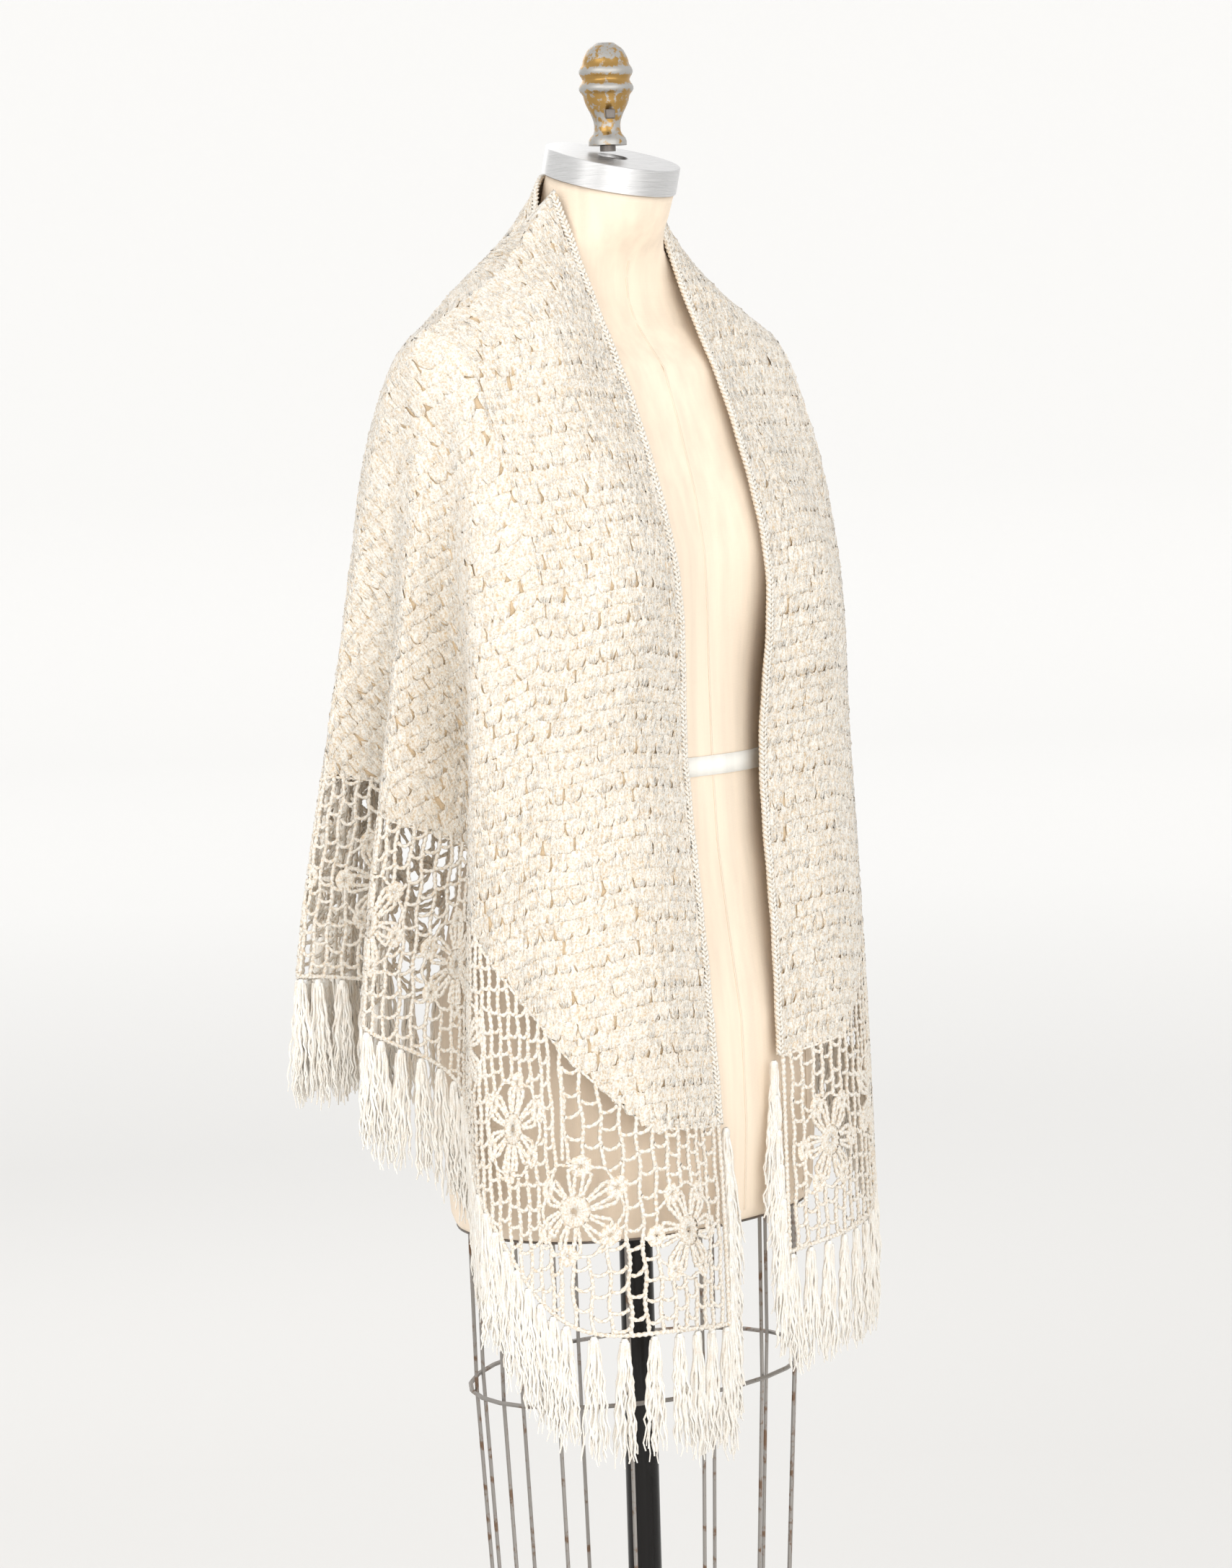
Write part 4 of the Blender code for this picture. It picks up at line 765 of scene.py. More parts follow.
def painted_finish(name, colour, roughness, coat):
    """Glossy or covered board paint with soft scuffs."""
    made, tree, shader = start_finish(name, colour, roughness, Coat_Weight=coat, Coat_Roughness=0.08,
                                      Specular_IOR_Level=0.22)
    wear = use_group(tree, wear_group(), Scale=26.0, Level=0.56, Softness=0.2)
    pale = tuple(min(1.0, c * 1.5 + 0.003) for c in colour[:3])
    tree.links.new(mix_colours(tree, wear.outputs["Mask"], colour, pale), shader.inputs["Base Color"])
    tree.links.new(map_range(tree, wear.outputs["Mask"], 0.0, 1.0, roughness, roughness + 0.14),
                   shader.inputs["Roughness"])
    return made


def make_finish(name):
    """Build one named finish."""
    shawl, form = shawl_settings(), form_settings()
    gold, steel = (0.42, 0.255, 0.085), (0.20, 0.18, 0.165)
    if name == "cream_crochet":
        return yarn_finish(name, shawl.yarn, shawl.hollow, 560.0, 1.0, 0.72)
    if name == "silk_fringe":
        return yarn_finish(name, shawl.silk, shawl.hollow, 700.0, 0.6, 0.22)
    if name == "canvas":
        return canvas_finish(name, form.canvas, 300.0, 0.30)
    if name == "cotton_tape":
        return canvas_finish(name, (0.95, 0.93, 0.87), 420.0, 0.35)
    if name == "brown_board":
        return painted_finish(name, form.board, 0.42, 0.0)
    if name == "brushed_aluminium":
        return turned_metal_finish(name, (0.66, 0.66, 0.665))
    if name == "worn_gold":
        return worn_metal_finish(name, gold, form.paint, 0.62, 0.30, 190.0, 0.30)
    if name == "steel":
        return worn_metal_finish(name, (0.22, 0.17, 0.13), steel, 0.55, 0.32, 150.0)
    if name == "rusty_wire":
        return worn_metal_finish(name, (0.20, 0.13, 0.09), (0.36, 0.34, 0.32), 0.52, 0.42, 90.0)
    return painted_finish(name, (0.008, 0.007, 0.0065), 0.20, 0.03)


def finish_of(name):
    """The named finish, built the first time it is asked for."""
    return bpy.data.materials.get(name + "_look") or make_finish(name)


# Mesh pieces

def settle(piece, finish, nodes):
    """Give a finished piece its look, its place on the frame and the solids it stands for."""
    piece.data.materials.clear()
    piece.data.materials.append(finish_of(finish))
    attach(piece, "root")
    if nodes:
        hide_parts(*nodes)
    return piece


def add_quads(name, points, quads, finish, nodes=(), hollow=None):
    """Make a smooth piece of four-cornered faces from arrays."""
    points = np.ascontiguousarray(points, np.float32).reshape(-1, 3)
    quads = np.ascontiguousarray(quads, np.int32).reshape(-1, 4)
    mesh = bpy.data.meshes.new(name)
    mesh.vertices.add(len(points))
    mesh.vertices.foreach_set("co", points.ravel())
    mesh.loops.add(quads.size)
    mesh.loops.foreach_set("vertex_index", quads.ravel())
    mesh.polygons.add(len(quads))
    mesh.polygons.foreach_set("loop_start", np.arange(0, quads.size, 4, dtype=np.int32))
    mesh.update(calc_edges=True)
    mesh.validate()
    mesh.polygons.foreach_set("use_smooth", np.ones(len(mesh.polygons), bool))
    # hollow: per point, how much painted shade the yarn finishes mix in; on the finial, how far its gold shows.
    if hollow is not None:
        layer = mesh.attributes.new("hollow", "FLOAT", "POINT")
        layer.data.foreach_set("value", np.ascontiguousarray(hollow, np.float32).ravel())
    piece = bpy.data.objects.new(name, mesh)
    bpy.context.scene.collection.objects.link(piece)
    return settle(piece, finish, nodes)


def grid_quads(rows, columns, copies=1, closed=False):
    """Faces of copies of a grid of rows by columns of points, closed round the columns or not."""
    row, column = np.meshgrid(np.arange(rows - 1), np.arange(columns if closed else columns - 1), indexing="ij")
    after = (column + 1) % columns
    one = np.stack([row * columns + column, row * columns + after,
                    (row + 1) * columns + after, (row + 1) * columns + column], axis=-1).reshape(-1, 4)
    return (one[None] + (np.arange(copies) * rows * columns)[:, None, None]).reshape(-1, 4)


class Strands:
    """Collects plied strands and makes one piece of them all."""

    def __init__(self, sides=4):
        self.points, self.quads, self.hollow, self.count, self.sides = [], [], [], 0, sides

    def add(self, path, facing, radius, squash=1.0, hollow=None):
        """A strand along a path; facing holds the outward normals there, radius one value or one each."""
        path = np.asarray(path, float)
        count = len(path)
        if count < 2:
            return
        along = np.gradient(path, axis=0)
        along /= np.maximum(np.linalg.norm(along, axis=1, keepdims=True), 1e-9)
        across = np.cross(along, facing)
        across /= np.maximum(np.linalg.norm(across, axis=1, keepdims=True), 1e-9)
        up = np.cross(across, along)
        radius = np.broadcast_to(np.asarray(radius, float), (count,))[:, None, None]
        angle = 2.0 * math.pi * (np.arange(self.sides) + 0.5) / self.sides
        ring = (np.cos(angle)[None, :, None] * across[:, None] + np.sin(angle)[None, :, None] * up[:, None] * squash)
        self.points.append((path[:, None] + radius * ring).reshape(-1, 3))
        # hollow: how much painted shade each point of the strand takes.
        depth = np.zeros(count) if hollow is None else np.broadcast_to(hollow, (count,))
        self.hollow.append(np.repeat(depth, self.sides))
        self.quads.append(grid_quads(count, self.sides, closed=True) + self.count)
        self.count += count * self.sides

    def add_patch(self, points, quads, hollow):
        """Loose faces that go with the strands."""
        self.points.append(np.asarray(points, float).reshape(-1, 3))
        self.quads.append(np.asarray(quads) + self.count)
        self.hollow.append(np.asarray(hollow, float).ravel())
        self.count += len(self.points[-1])

    def piece(self, name, finish, nodes=()):
        """Make the piece."""
        return add_quads(name, np.concatenate(self.points), np.concatenate(self.quads), finish, nodes,
                         np.concatenate(self.hollow))


def on_cloth(side, x, y, lift):
    """Places and outward normals of flat points, lifted off the cloth's middle."""
    x, y = np.asarray(x, float), np.asarray(y, float)
    normal = cloth_normals(side, x, y)
    return drape(side, x, y) + normal * np.broadcast_to(lift, x.shape)[:, None], normal


# Dense body

def keep_in_outline(side, x, y):
    """Move flat points that lie past the scalloped dense hem back to it."""
    pitch, depth = math.pi / 0.0150, 0.0048
    x = np.minimum(x, BODY_SIDE[side] + depth * np.abs(np.sin(pitch * y)) - 0.001)
    y = np.minimum(y, BODY_DEPTH + depth * np.abs(np.sin(pitch * x)) - 0.001)
    along = SLANT_WAY[1] * x - SLANT_WAY[0] * y
    corner = SLANT_WAY @ np.array([BODY_SIDE[side], TIP_WIDTH]) + depth * np.abs(np.sin(pitch * along)) - 0.001
    past = np.maximum(0.0, SLANT_WAY[0] * x + SLANT_WAY[1] * y - corner)
    return np.maximum(x - past * SLANT_WAY[0], 0.0003), np.maximum(y - past * SLANT_WAY[1], 0.0004)


def shell_places(side, rng):
    """Base x, middle y and row number of every shell stitch of one half."""
    settings = shawl_settings()
    width, height = settings.shell_width, settings.shell_height
    rows, counts = int(BODY_SIDE[side] / height) + 2, int(BODY_DEPTH / width) + 2
    row, number = np.meshgrid(np.arange(rows), np.arange(counts), indexing="ij")
    row, number = row.ravel(), number.ravel()
    base = (row + 1) * height + rng.normal(0.0, 0.0004, row.size)
    middle = (number + 0.5 * (row % 2)) * width + rng.normal(0.0, 0.0006, row.size)
    corner = SLANT_WAY @ np.array([BODY_SIDE[side], TIP_WIDTH])
    centre = base - 0.6 * height
    inside = ((centre < BODY_SIDE[side] + 0.002) & (middle < BODY_DEPTH + 0.35 * width) & (centre > 0.0)
              & (SLANT_WAY[0] * centre + SLANT_WAY[1] * middle < corner + 0.35 * width))
    return base[inside], middle[inside], row[inside]


def painted_shade_sheet(side):
    """A sheet just under the shells, coloured all through with the painted shade, standing in for the shade seen down
    the small gaps between them.
    """
    corner = SLANT_WAY @ np.array([BODY_SIDE[side], TIP_WIDTH])
    y = np.linspace(0.0008, BODY_DEPTH - 0.001, 60)
    last = np.minimum(BODY_SIDE[side], (corner - SLANT_WAY[1] * y) / SLANT_WAY[0]) - 0.0015
    share = np.linspace(0.0, 1.0, 90)[:, None]
    x = 0.0004 + (last - 0.0004)[None] * share
    points, _ = on_cloth(side, x.ravel(), np.broadcast_to(y, x.shape).ravel(), -0.0012)
    return points, grid_quads(90, 60)[:, ::-1]


def build_dense_body(side, word):
    """Every shell stitch of one half of the dense cloth, with the small gaps between them, and a sheet of painted shade
    under them.
    """
    settings = shawl_settings()
    width, height = settings.shell_width, settings.shell_height
    rng = np.random.default_rng(settings.seed + side)
    base, middle, row = shell_places(side, rng)
    count = len(base)
    columns = 2 * FAN_POSTS + 1
    across, up = np.meshgrid(np.linspace(-1.0, 1.0, columns), SHELL_ROWS_B)
    across, up = across.ravel()[None], up.ravel()[None]
    strong = (row % 2 == 0)[:, None]
    foot = np.where(strong, 0.34, 0.46) + rng.normal(0.0, 0.05, (count, 1))
    size = 1.0 + rng.normal(0.0, 0.055, (count, 1))
    lean = rng.normal(0.0, 0.09, (count, 1)) + np.where(strong, 0.05, -0.02)
    spread = width * size * (foot + (0.56 - foot) * np.minimum(1.0, up / 0.66) ** 0.85)
    y = middle[:, None] + across * spread + lean * up * width
    tab = (0.40 + rng.normal(0.0, 0.10, (count, 1))) * np.exp(-(across / 0.19) ** 2)
    top = np.where(strong, 1.21 - 0.07 * across ** 2, 1.10 + tab) + rng.normal(0.0, 0.02, (count, 1))
    x = base[:, None] + 0.06 * height - height * up * top + rng.normal(0.0, 0.0004, (count, across.size))
    y = y + rng.normal(0.0, 0.0003, (count, across.size))
    post = np.where(np.arange(columns) % 2 == 1, 1.0, -1.0)
    ridge = np.tile(post, len(SHELL_ROWS_B))[None]
    level = np.repeat(np.arange(len(SHELL_ROWS_B)) % 2, columns)[None] * 2.0 - 1.0
    lift = (0.00048 * ridge * (1.0 + 0.35 * level) + 0.0004 * (1.0 - across ** 2) - 0.0003 * np.abs(across) ** 8
            + np.where(up == 0.0, -0.0006, 0.0) + np.where(up == 1.0, 0.0004, 0.0)
            + rng.normal(0.0, 0.00042, (count, across.size)))
    # Painted shade, with random unevenness of tone: darker in the grooves between posts, at the shells' sides and feet,
    # and on the rows that sit lower.
    painted_shade = np.clip(0.05 + 0.22 * (1.0 - ridge) / 2.0 + 0.16 * np.abs(across) ** 8 + np.where(up == 0.0, 0.15, 0.0)
                   - 0.10 * level + rng.normal(0.0, 0.20, (count, across.size)), 0.0, 1.0)
    x, y = keep_in_outline(side, x, y)
    points, _ = on_cloth(side, x.ravel(), y.ravel(), lift.ravel())
    quads = grid_quads(len(SHELL_ROWS_B), columns, count)
    # The sheet of painted shade under the shells: its points take the full hollow colour.
    back, shade_sheet_quads = painted_shade_sheet(side)
    quads = np.concatenate([quads, shade_sheet_quads + len(points)])
    painted_shade = np.concatenate([painted_shade.ravel(), np.full(len(back), 1.2)])
    if side < 0:
        quads = quads[:, ::-1]
    return add_quads(f"dense_body_{word}", np.concatenate([points, back]), quads, "cream_crochet",
                     [f"shawl_body_{word}"], painted_shade)


class ADD_OT_dense_body(bpy.types.Operator):
    """Crochet both halves of the dense body shell by shell"""

    bl_idname = "shawl.dense_body"
    bl_label = "Dense body"

    def execute(self, context):
        for side, word in SIDES:
            build_dense_body(side, word)
        return {"FINISHED"}


# Rope edging

def build_rope_edging(side, word):
    """Plies twisted in two pairs along the neck and the front edge."""
    length = BODY_SIDE[side]
    x = np.linspace(0.0003, length, int(length / 0.0009))
    edge = drape(side, x, np.zeros(len(x)))
    inner, normal = on_cloth(side, x, np.full(len(x), 0.006), 0.0)
    outward = edge - inner
    outward[0, 0] = 0.0
    outward /= np.maximum(np.linalg.norm(outward, axis=1, keepdims=True), 1e-9)
    run = np.concatenate([[0.0], np.cumsum(np.linalg.norm(np.diff(edge, axis=0), axis=1))])
    strands = Strands()
    for reach, turn, ply in ((0.0042, 1.0, 0.00135), (0.0012, -1.0, 0.00115)):
        for start in (0.0, math.pi):
            angle = start + turn * 2.0 * math.pi * run / 0.0075
            wobble = 0.0003 * np.sin(run * 140.0)
            path = (edge + outward * (reach + wobble + 0.00115 * np.cos(angle))[:, None]
                    + normal * (0.00105 * np.sin(angle))[:, None])
            # Painted shade: each ply is darker where it turns under, towards the cloth.
            strands.add(path, normal, ply, hollow=np.clip(0.25 - 0.5 * np.sin(angle), 0.0, 0.6))
    return strands.piece(f"rope_edging_{word}", "cream_crochet", [f"shawl_edging_{word}"])


class ADD_OT_rope_edging(bpy.types.Operator):
    """Twist the rope edging along the neck and both fronts"""

    bl_idname = "shawl.rope_edging"
    bl_label = "Rope edging"

    def execute(self, context):
        for side, word in SIDES:
            build_rope_edging(side, word)
        return {"FINISHED"}


# Lace border

def stations(side, depth, pitch, first=0.0):
    """Hem shares evenly spaced at a depth below the dense body."""
    shares = np.linspace(0.0, 1.0, 2000)
    x, y = border_flat(side, shares, np.full(2000, depth))
    run = np.concatenate([[0.0], np.cumsum(np.hypot(np.diff(x), np.diff(y)))])
    count = max(2, int(round((run[-1] - first) / pitch)) + 1)
    return np.interp(np.linspace(first, run[-1], count), run, shares)


def flower_spots(side):
    """Flat centre and turn of every flower of one half."""
    whole = stations(side, FLOWER_DEPTH, FLOWER_PITCH, 0.058)
    shares = whole[:-1]
    x, y = border_flat(side, shares, np.full(len(shares), FLOWER_DEPTH))
    deeper = border_flat(side, shares, np.full(len(shares), FLOWER_DEPTH + 0.01))
    return x, y, np.arctan2(deeper[1] - y, deeper[0] - x)


def chain_radii(count, start=0):
    """Thick and thin by turns, as chain stitches are."""
    return np.where((np.arange(count) + start) % 2 == 0, *CHAIN_RADII)


def add_chain(strands, side, x, y, lift=0.0, scale=1.0):
    """A chain along flat points, resampled to even stitches and hung on the form."""
    run = np.concatenate([[0.0], np.cumsum(np.hypot(np.diff(x), np.diff(y)))])
    count = int(run[-1] / CHAIN_STEP) + 1
    if count < 2:
        return
    marks = np.linspace(0.0, run[-1], count)
    path, normal = on_cloth(side, np.interp(marks, run, x), np.interp(marks, run, y), lift)
    # Painted shade: the thin pinches between chain stitches are darker than the thick ones.
    strands.add(path, normal, chain_radii(count) * scale, 0.8, np.where(np.arange(count) % 2 == 0, 0.05, 0.30))


def net_uprights(side):
    """Net strands as the cloth hangs: flat start and way, and where each enters and leaves the border."""
    shares = np.linspace(0.0, 1.0, 1500)
    edges = [border_flat(side, shares, np.full(1500, depth)) for depth in (0.0, BORDER_WIDTH - 0.002)]
    lines = []
    for y in np.arange(0.011, SHOULDER_Y, NET_COLUMN):
        lines.append(((0.0, y), (1.0, 0.0), *(float(np.interp(y, edge[1], edge[0])) for edge in edges)))
    turns = [np.arctan2(edge[1] - SHOULDER_Y, edge[0] - SHOULDER_X) for edge in edges]
    reaches = [np.hypot(edge[1] - SHOULDER_Y, edge[0] - SHOULDER_X) for edge in edges]
    turn = 0.004
    while turn < 0.5 * math.pi:
        first, last = (float(np.interp(turn, turns[k], reaches[k])) for k in (0, 1))
        lines.append(((SHOULDER_X, SHOULDER_Y), (math.cos(turn), math.sin(turn)), first, last))
        turn += NET_COLUMN / (0.5 * (first + last))
    for x in np.arange(SHOULDER_X, 0.004, -NET_COLUMN):
        lines.append(((x, 0.0), (0.0, 1.0), *(float(np.interp(-x, -edge[0], edge[1])) for edge in edges)))
    return lines


def add_outside(strands, side, x, y, centres, lift, scale):
    """A chain, left out where a flower lies."""
    near = np.min(np.hypot(x[:, None] - centres[0][None], y[:, None] - centres[1][None]), axis=1)
    outside = near > FLOWER_REACH - 0.001
    for run in np.split(np.arange(len(x)), np.flatnonzero(np.diff(outside.astype(int))) + 1):
        if outside[run[0]] and len(run) > 1:
            add_chain(strands, side, x[run], y[run], lift, scale)


def add_net(strands, side, centres, rng):
    """Ladder net: strands that hang plumb, with sagging rungs between them."""
    lines = net_uprights(side)
    marks = []
    for (x, y), (way_x, way_y), first, last in lines:
        gone = np.linspace(first - 0.002, last, 70)
        sway = 0.0011 * np.sin(gone * 150.0 + rng.uniform(0.0, 6.28)) + rng.normal(0.0, 0.0007)
        add_outside(strands, side, np.maximum(x + way_x * gone - way_y * sway, 0.0004),
                    y + way_y * gone + way_x * sway, centres, 0.0, 1.0)
        marks.append((first, last))
    for k, (one, two) in enumerate(zip(lines, lines[1:])):
        first, last = max(marks[k][0], marks[k + 1][0]), min(marks[k][1], marks[k + 1][1])
        level = first + 0.004 + 0.5 * NET_ROW * (k % 2)
        while level < last:
            ends = [(start[0] + way[0] * d, start[1] + way[1] * d)
                    for (start, way, _, _), d in ((one, level + rng.normal(0.0, 0.0012)),
                                                  (two, level + rng.normal(0.0, 0.0012)))]
            share = np.linspace(0.0, 1.0, 9)
            bow = rng.uniform(0.0015, 0.0042) * np.sin(math.pi * share)
            x = ends[0][0] + (ends[1][0] - ends[0][0]) * share + one[1][0] * bow
            y = ends[0][1] + (ends[1][1] - ends[0][1]) * share + one[1][1] * bow
            add_outside(strands, side, x, y, centres, 0.0005, 0.95)
            level += NET_ROW * rng.uniform(0.88, 1.12)


def add_disc(strands, side, x, y, radii, posts, lift, turn=0.0, arc=2.0 * math.pi, aside=(0.0, 0.0)):
    """A dense round of posts between an inner and an outer radius."""
    columns = 2 * posts
    angle = turn + np.linspace(0.0, arc, columns + 1)[:columns] if arc > 6.0 else turn + np.linspace(-arc / 2, arc / 2, columns)
    rows = len(radii)
    radius, theta = np.meshgrid(radii, angle, indexing="ij")
    ridge = np.where(np.arange(columns) % 2 == 0, 1.0, -1.0)[None].repeat(rows, axis=0)
    edge = np.zeros((rows, 1))
    edge[0] = edge[-1] = 1.0
    scallop = 1.0 + 0.05 * ridge * (np.arange(rows)[:, None] == rows - 1)
    px = x + aside[0] + radius * scallop * np.cos(theta)
    py = y + aside[1] + radius * scallop * np.sin(theta)
    height = lift + 0.0005 * ridge - 0.0009 * edge
    points, _ = on_cloth(side, px.ravel(), py.ravel(), height.ravel())
    quads = grid_quads(rows, columns, closed=arc > 6.0)
    if side > 0:
        quads = quads[:, ::-1]
    # Painted shade: darker in the grooves between the posts and at the inner and outer rows.
    painted_shade = np.clip(0.28 * (1.0 - ridge) / 2.0 + 0.35 * edge, 0.0, 1.0)
    strands.add_patch(points, quads, painted_shade)


def add_flower(strands, side, x, y, turn, rng):
    """A medallion: open middle, dense round, twelve looped petals gathered in six fans, and a rim."""
    add_disc(strands, side, x, y, (0.0018, 0.0040, 0.0092, 0.0130), 16, 0.0012, turn)
    for fan in range(6):
        middle = turn + 2.0 * math.pi * (fan + 0.5) / 6.0 + rng.normal(0.0, 0.03)
        aside = (0.0345 * math.cos(middle), 0.0345 * math.sin(middle))
        add_disc(strands, side, x, y, (0.0008, 0.0035, 0.0062, 0.0086), 7, 0.0014, middle, aside=aside)
        for loop in (-1.0, 1.0):
            spread = middle + loop * (0.27 + rng.normal(0.0, 0.02))
            gather = middle + loop * 0.18
            reach = 0.0315 + rng.normal(0.0, 0.0012)
            share = np.linspace(-1.0, 1.0, 21)
            radius = 0.0122 + (reach - 0.0122) * (1.0 - share ** 4)
            half = 0.0031 * np.sin(math.pi * (1.0 - np.abs(share)) * 0.86 + 0.25) / radius
            line = spread + (gather - spread) * (1.0 - share ** 2) + half * np.sign(share)
            add_chain(strands, side, x + radius * np.cos(line), y + radius * np.sin(line), 0.0004, 1.04)
    angle = np.linspace(0.0, 2.0 * math.pi, 97)
    rim = FLOWER_REACH - 0.0008 + 0.0012 * np.cos(12.0 * (angle - turn))
    rim_x, rim_y = x + rim * np.cos(angle), y + rim * np.sin(angle)
    add_chain(strands, side, np.maximum(rim_x, 0.0004), rim_y, 0.0003, 0.82)


def build_lace_border(side, word):
    """The lace border of one half: head chain, net, flowers and foot chain."""
    rng = np.random.default_rng(shawl_settings().seed + 20 + side)
    strands = Strands()
    centre_x, centre_y, turns = flower_spots(side)
    add_net(strands, side, (centre_x, centre_y), rng)
    for x, y, turn in zip(centre_x, centre_y, turns):
        add_flower(strands, side, x, y, turn, rng)
    shares = np.linspace(0.0, 1.0, 400)
    for depth, scale in ((0.0012, 0.7), (BORDER_WIDTH - 0.0020, 1.1)):
        add_chain(strands, side, *border_flat(side, shares, np.full(400, depth)), -0.0003, scale)
    depth = np.linspace(0.0, BORDER_WIDTH - 0.001, 60)
    add_chain(strands, side, *border_flat(side, np.full(60, 0.0), depth), 0.0003, 1.1)
    return strands.piece(f"flower_border_{word}", "cream_crochet", [f"lace_border_{word}"])


class ADD_OT_lace_border(bpy.types.Operator):
    """Crochet the net and the flower medallions of the lace border"""

    bl_idname = "shawl.lace_border"
    bl_label = "Lace border"

    def execute(self, context):
        for side, word in SIDES:
            build_lace_border(side, word)
        return {"FINISHED"}


# Tassels

def add_tassel(strands, root, normal, rng, count, length, width, drift=(0.0, 0.0)):
    """A knotted head and full crinkled strands that hang from it and spread at their ends."""
    side_way = np.cross((0.0, 0.0, 1.0), normal)
    side_way /= max(np.linalg.norm(side_way), 1e-9)
    out_way = np.cross(side_way, (0.0, 0.0, 1.0))
    rows = 15
    down = np.linspace(0.0, 1.0, rows)
    knot = np.array([(0.0, 0.0022), (0.25, 0.0036), (0.6, 0.0038), (1.0, 0.0030)])
    path = root - np.outer(knot[:, 0], (0.0, 0.0, 0.0085))
    # Painted shade on the knot, darkest at its foot where the strands leave it.
    strands.add(path, np.tile(out_way, (4, 1)), knot[:, 1], 0.75, (0.1, 0.0, 0.1, 0.3))
    for number in range(count):
        place = (number + 0.5) / count * 2.0 - 1.0
        fan = width * (0.30 + 0.80 * down ** 0.8) * place + rng.normal(0.0, 0.0010) * (0.3 + down)
        phase, pace = rng.uniform(0.0, 6.28), rng.uniform(2.5, 6.0)
        crinkle = 0.0011 * np.sin(2.0 * math.pi * pace * down + phase) * np.minimum(1.0, 3.0 * down)
        layer = 0.0012 * (number % 3 - 1)
        depth = layer + 0.0009 * np.cos(2.0 * math.pi * pace * 0.8 * down + 2.0 * phase) * (0.4 + down)
        reach = length * (1.0 + rng.normal(0.0, 0.045) - 0.06 * abs(place))
        path = (root[None] - np.outer(0.003 + reach * down, (0.0, 0.0, 1.0))
                + np.outer(fan + crinkle + drift[0] * down ** 1.5, side_way)
                + np.outer(depth + drift[1] * down, out_way))
        radius = 0.00125 * (1.0 + 0.25 * np.sin(9.0 * down + phase)) * (1.0 - 0.55 * down ** 4)
        # Painted shade on the strands: darker by turns with the crinkle, on the inner layer, and more towards the top,
        # where the strands bunch under the knot.
        strands.add(path, np.tile(out_way, (rows, 1)), radius, 0.85,
                    np.clip(0.16 - 0.22 * np.cos(2.0 * math.pi * pace * down + phase) - 0.05 * layer / 0.0012, 0.0, 1.0)
                    * (1.0 - 0.5 * down))


def build_hem_fringe(side, word):
    """Tassels all along the foot of the border of one half."""
    settings = shawl_settings()
    rng = np.random.default_rng(settings.seed + 40 + side)
    shares = stations(side, BORDER_WIDTH, TASSEL_PITCH, 0.004)
    x, y = border_flat(side, shares, np.full(len(shares), BORDER_WIDTH))
    roots, normals = on_cloth(side, x, y, 0.0)
    strands = Strands()
    for root, normal in zip(roots, normals):
        add_tassel(strands, root, normal, rng, settings.tassel_strands, TASSEL_DROP * rng.uniform(0.88, 0.99),
                   0.0095, (rng.normal(0.0, 0.003), rng.normal(0.0, 0.0015)))
    return strands.piece(f"tassels_hem_{word}", "silk_fringe", [f"hem_fringe_{word}"])


def build_front_tassels(side, word):
    """Tassels that hang from the border's front end, each outside the next."""
    settings = shawl_settings()
    rng = np.random.default_rng(settings.seed + 60 + side)
    depth = np.linspace(0.004, BORDER_WIDTH - 0.018, 6)
    x, y = border_flat(side, np.zeros(6), depth)
    roots, normals = on_cloth(side, x, y, 0.0)
    inner = on_cloth(side, x, y + 0.01, 0.0)[0]
    strands = Strands()
    for number, (root, normal, within) in enumerate(zip(roots, normals, inner)):
        aside = root - within
        aside[2] = 0.0
        aside /= max(np.linalg.norm(aside), 1e-9)
        start = root + aside * (0.004 + 0.0012 * (5 - number))
        way = np.cross((0.0, 0.0, 1.0), normal)
        pull = 0.010 * float(np.sign(way @ aside))
        add_tassel(strands, start, normal, rng, settings.tassel_strands, TASSEL_DROP * 0.95, 0.0065,
                   (pull * (0.4 + 0.12 * (5 - number)), rng.normal(0.0, 0.001)))
    return strands.piece(f"tassels_front_{word}", "silk_fringe", [f"front_fringe_{word}"])


class ADD_OT_fringe(bpy.types.Operator):
    """Hang the tassels along the hem and the border's front ends"""

    bl_idname = "shawl.fringe"
    bl_label = "Tassel fringe"

    def execute(self, context):
        for side, word in SIDES:
            build_hem_fringe(side, word)
            build_front_tassels(side, word)
        return {"FINISHED"}


# Dress form

def smooth_torso_rings():
    """Finer torso rings: smooth heights with the outline of the table."""
    table = np.array(TORSO_RINGS)
    heights = np.concatenate([[table[0, 0]], np.linspace(table[0, 0] + 0.004, table[-1, 0], 110)])
    return heights


def lean_of_neck(height):
    """Share of the neck cap's lean that the top of the torso takes at a height."""
    return np.interp(height, (0.400, 0.415, 0.435, 0.455), (0.0, 0.25, 0.6, 1.0))


def torso_spot(height, angle, grow=0.0):
    """A point on the torso in space, grow outside it."""
    x, y = torso_point(height, angle)
    length = max(math.hypot(x, y), 1e-6)
    x, y = x * (1.0 + grow / length), y * (1.0 + grow / length)
    lean = float(lean_of_neck(height)) * math.tan(NECK_LEAN) * (y - CAP_CENTRE.y)
    return np.array([x, y, WAIST + height + lean])


def neck_fill(height, angle):
    """Canvas thickness that fills the hidden back of the neck out towards the collar."""
    behind = max(0.0, -math.cos(angle)) ** 0.5
    return 0.0024 * behind * float(np.interp(height, (0.40, 0.415, 0.447, 0.455), (0.0, 1.0, 1.0, 0.3)))


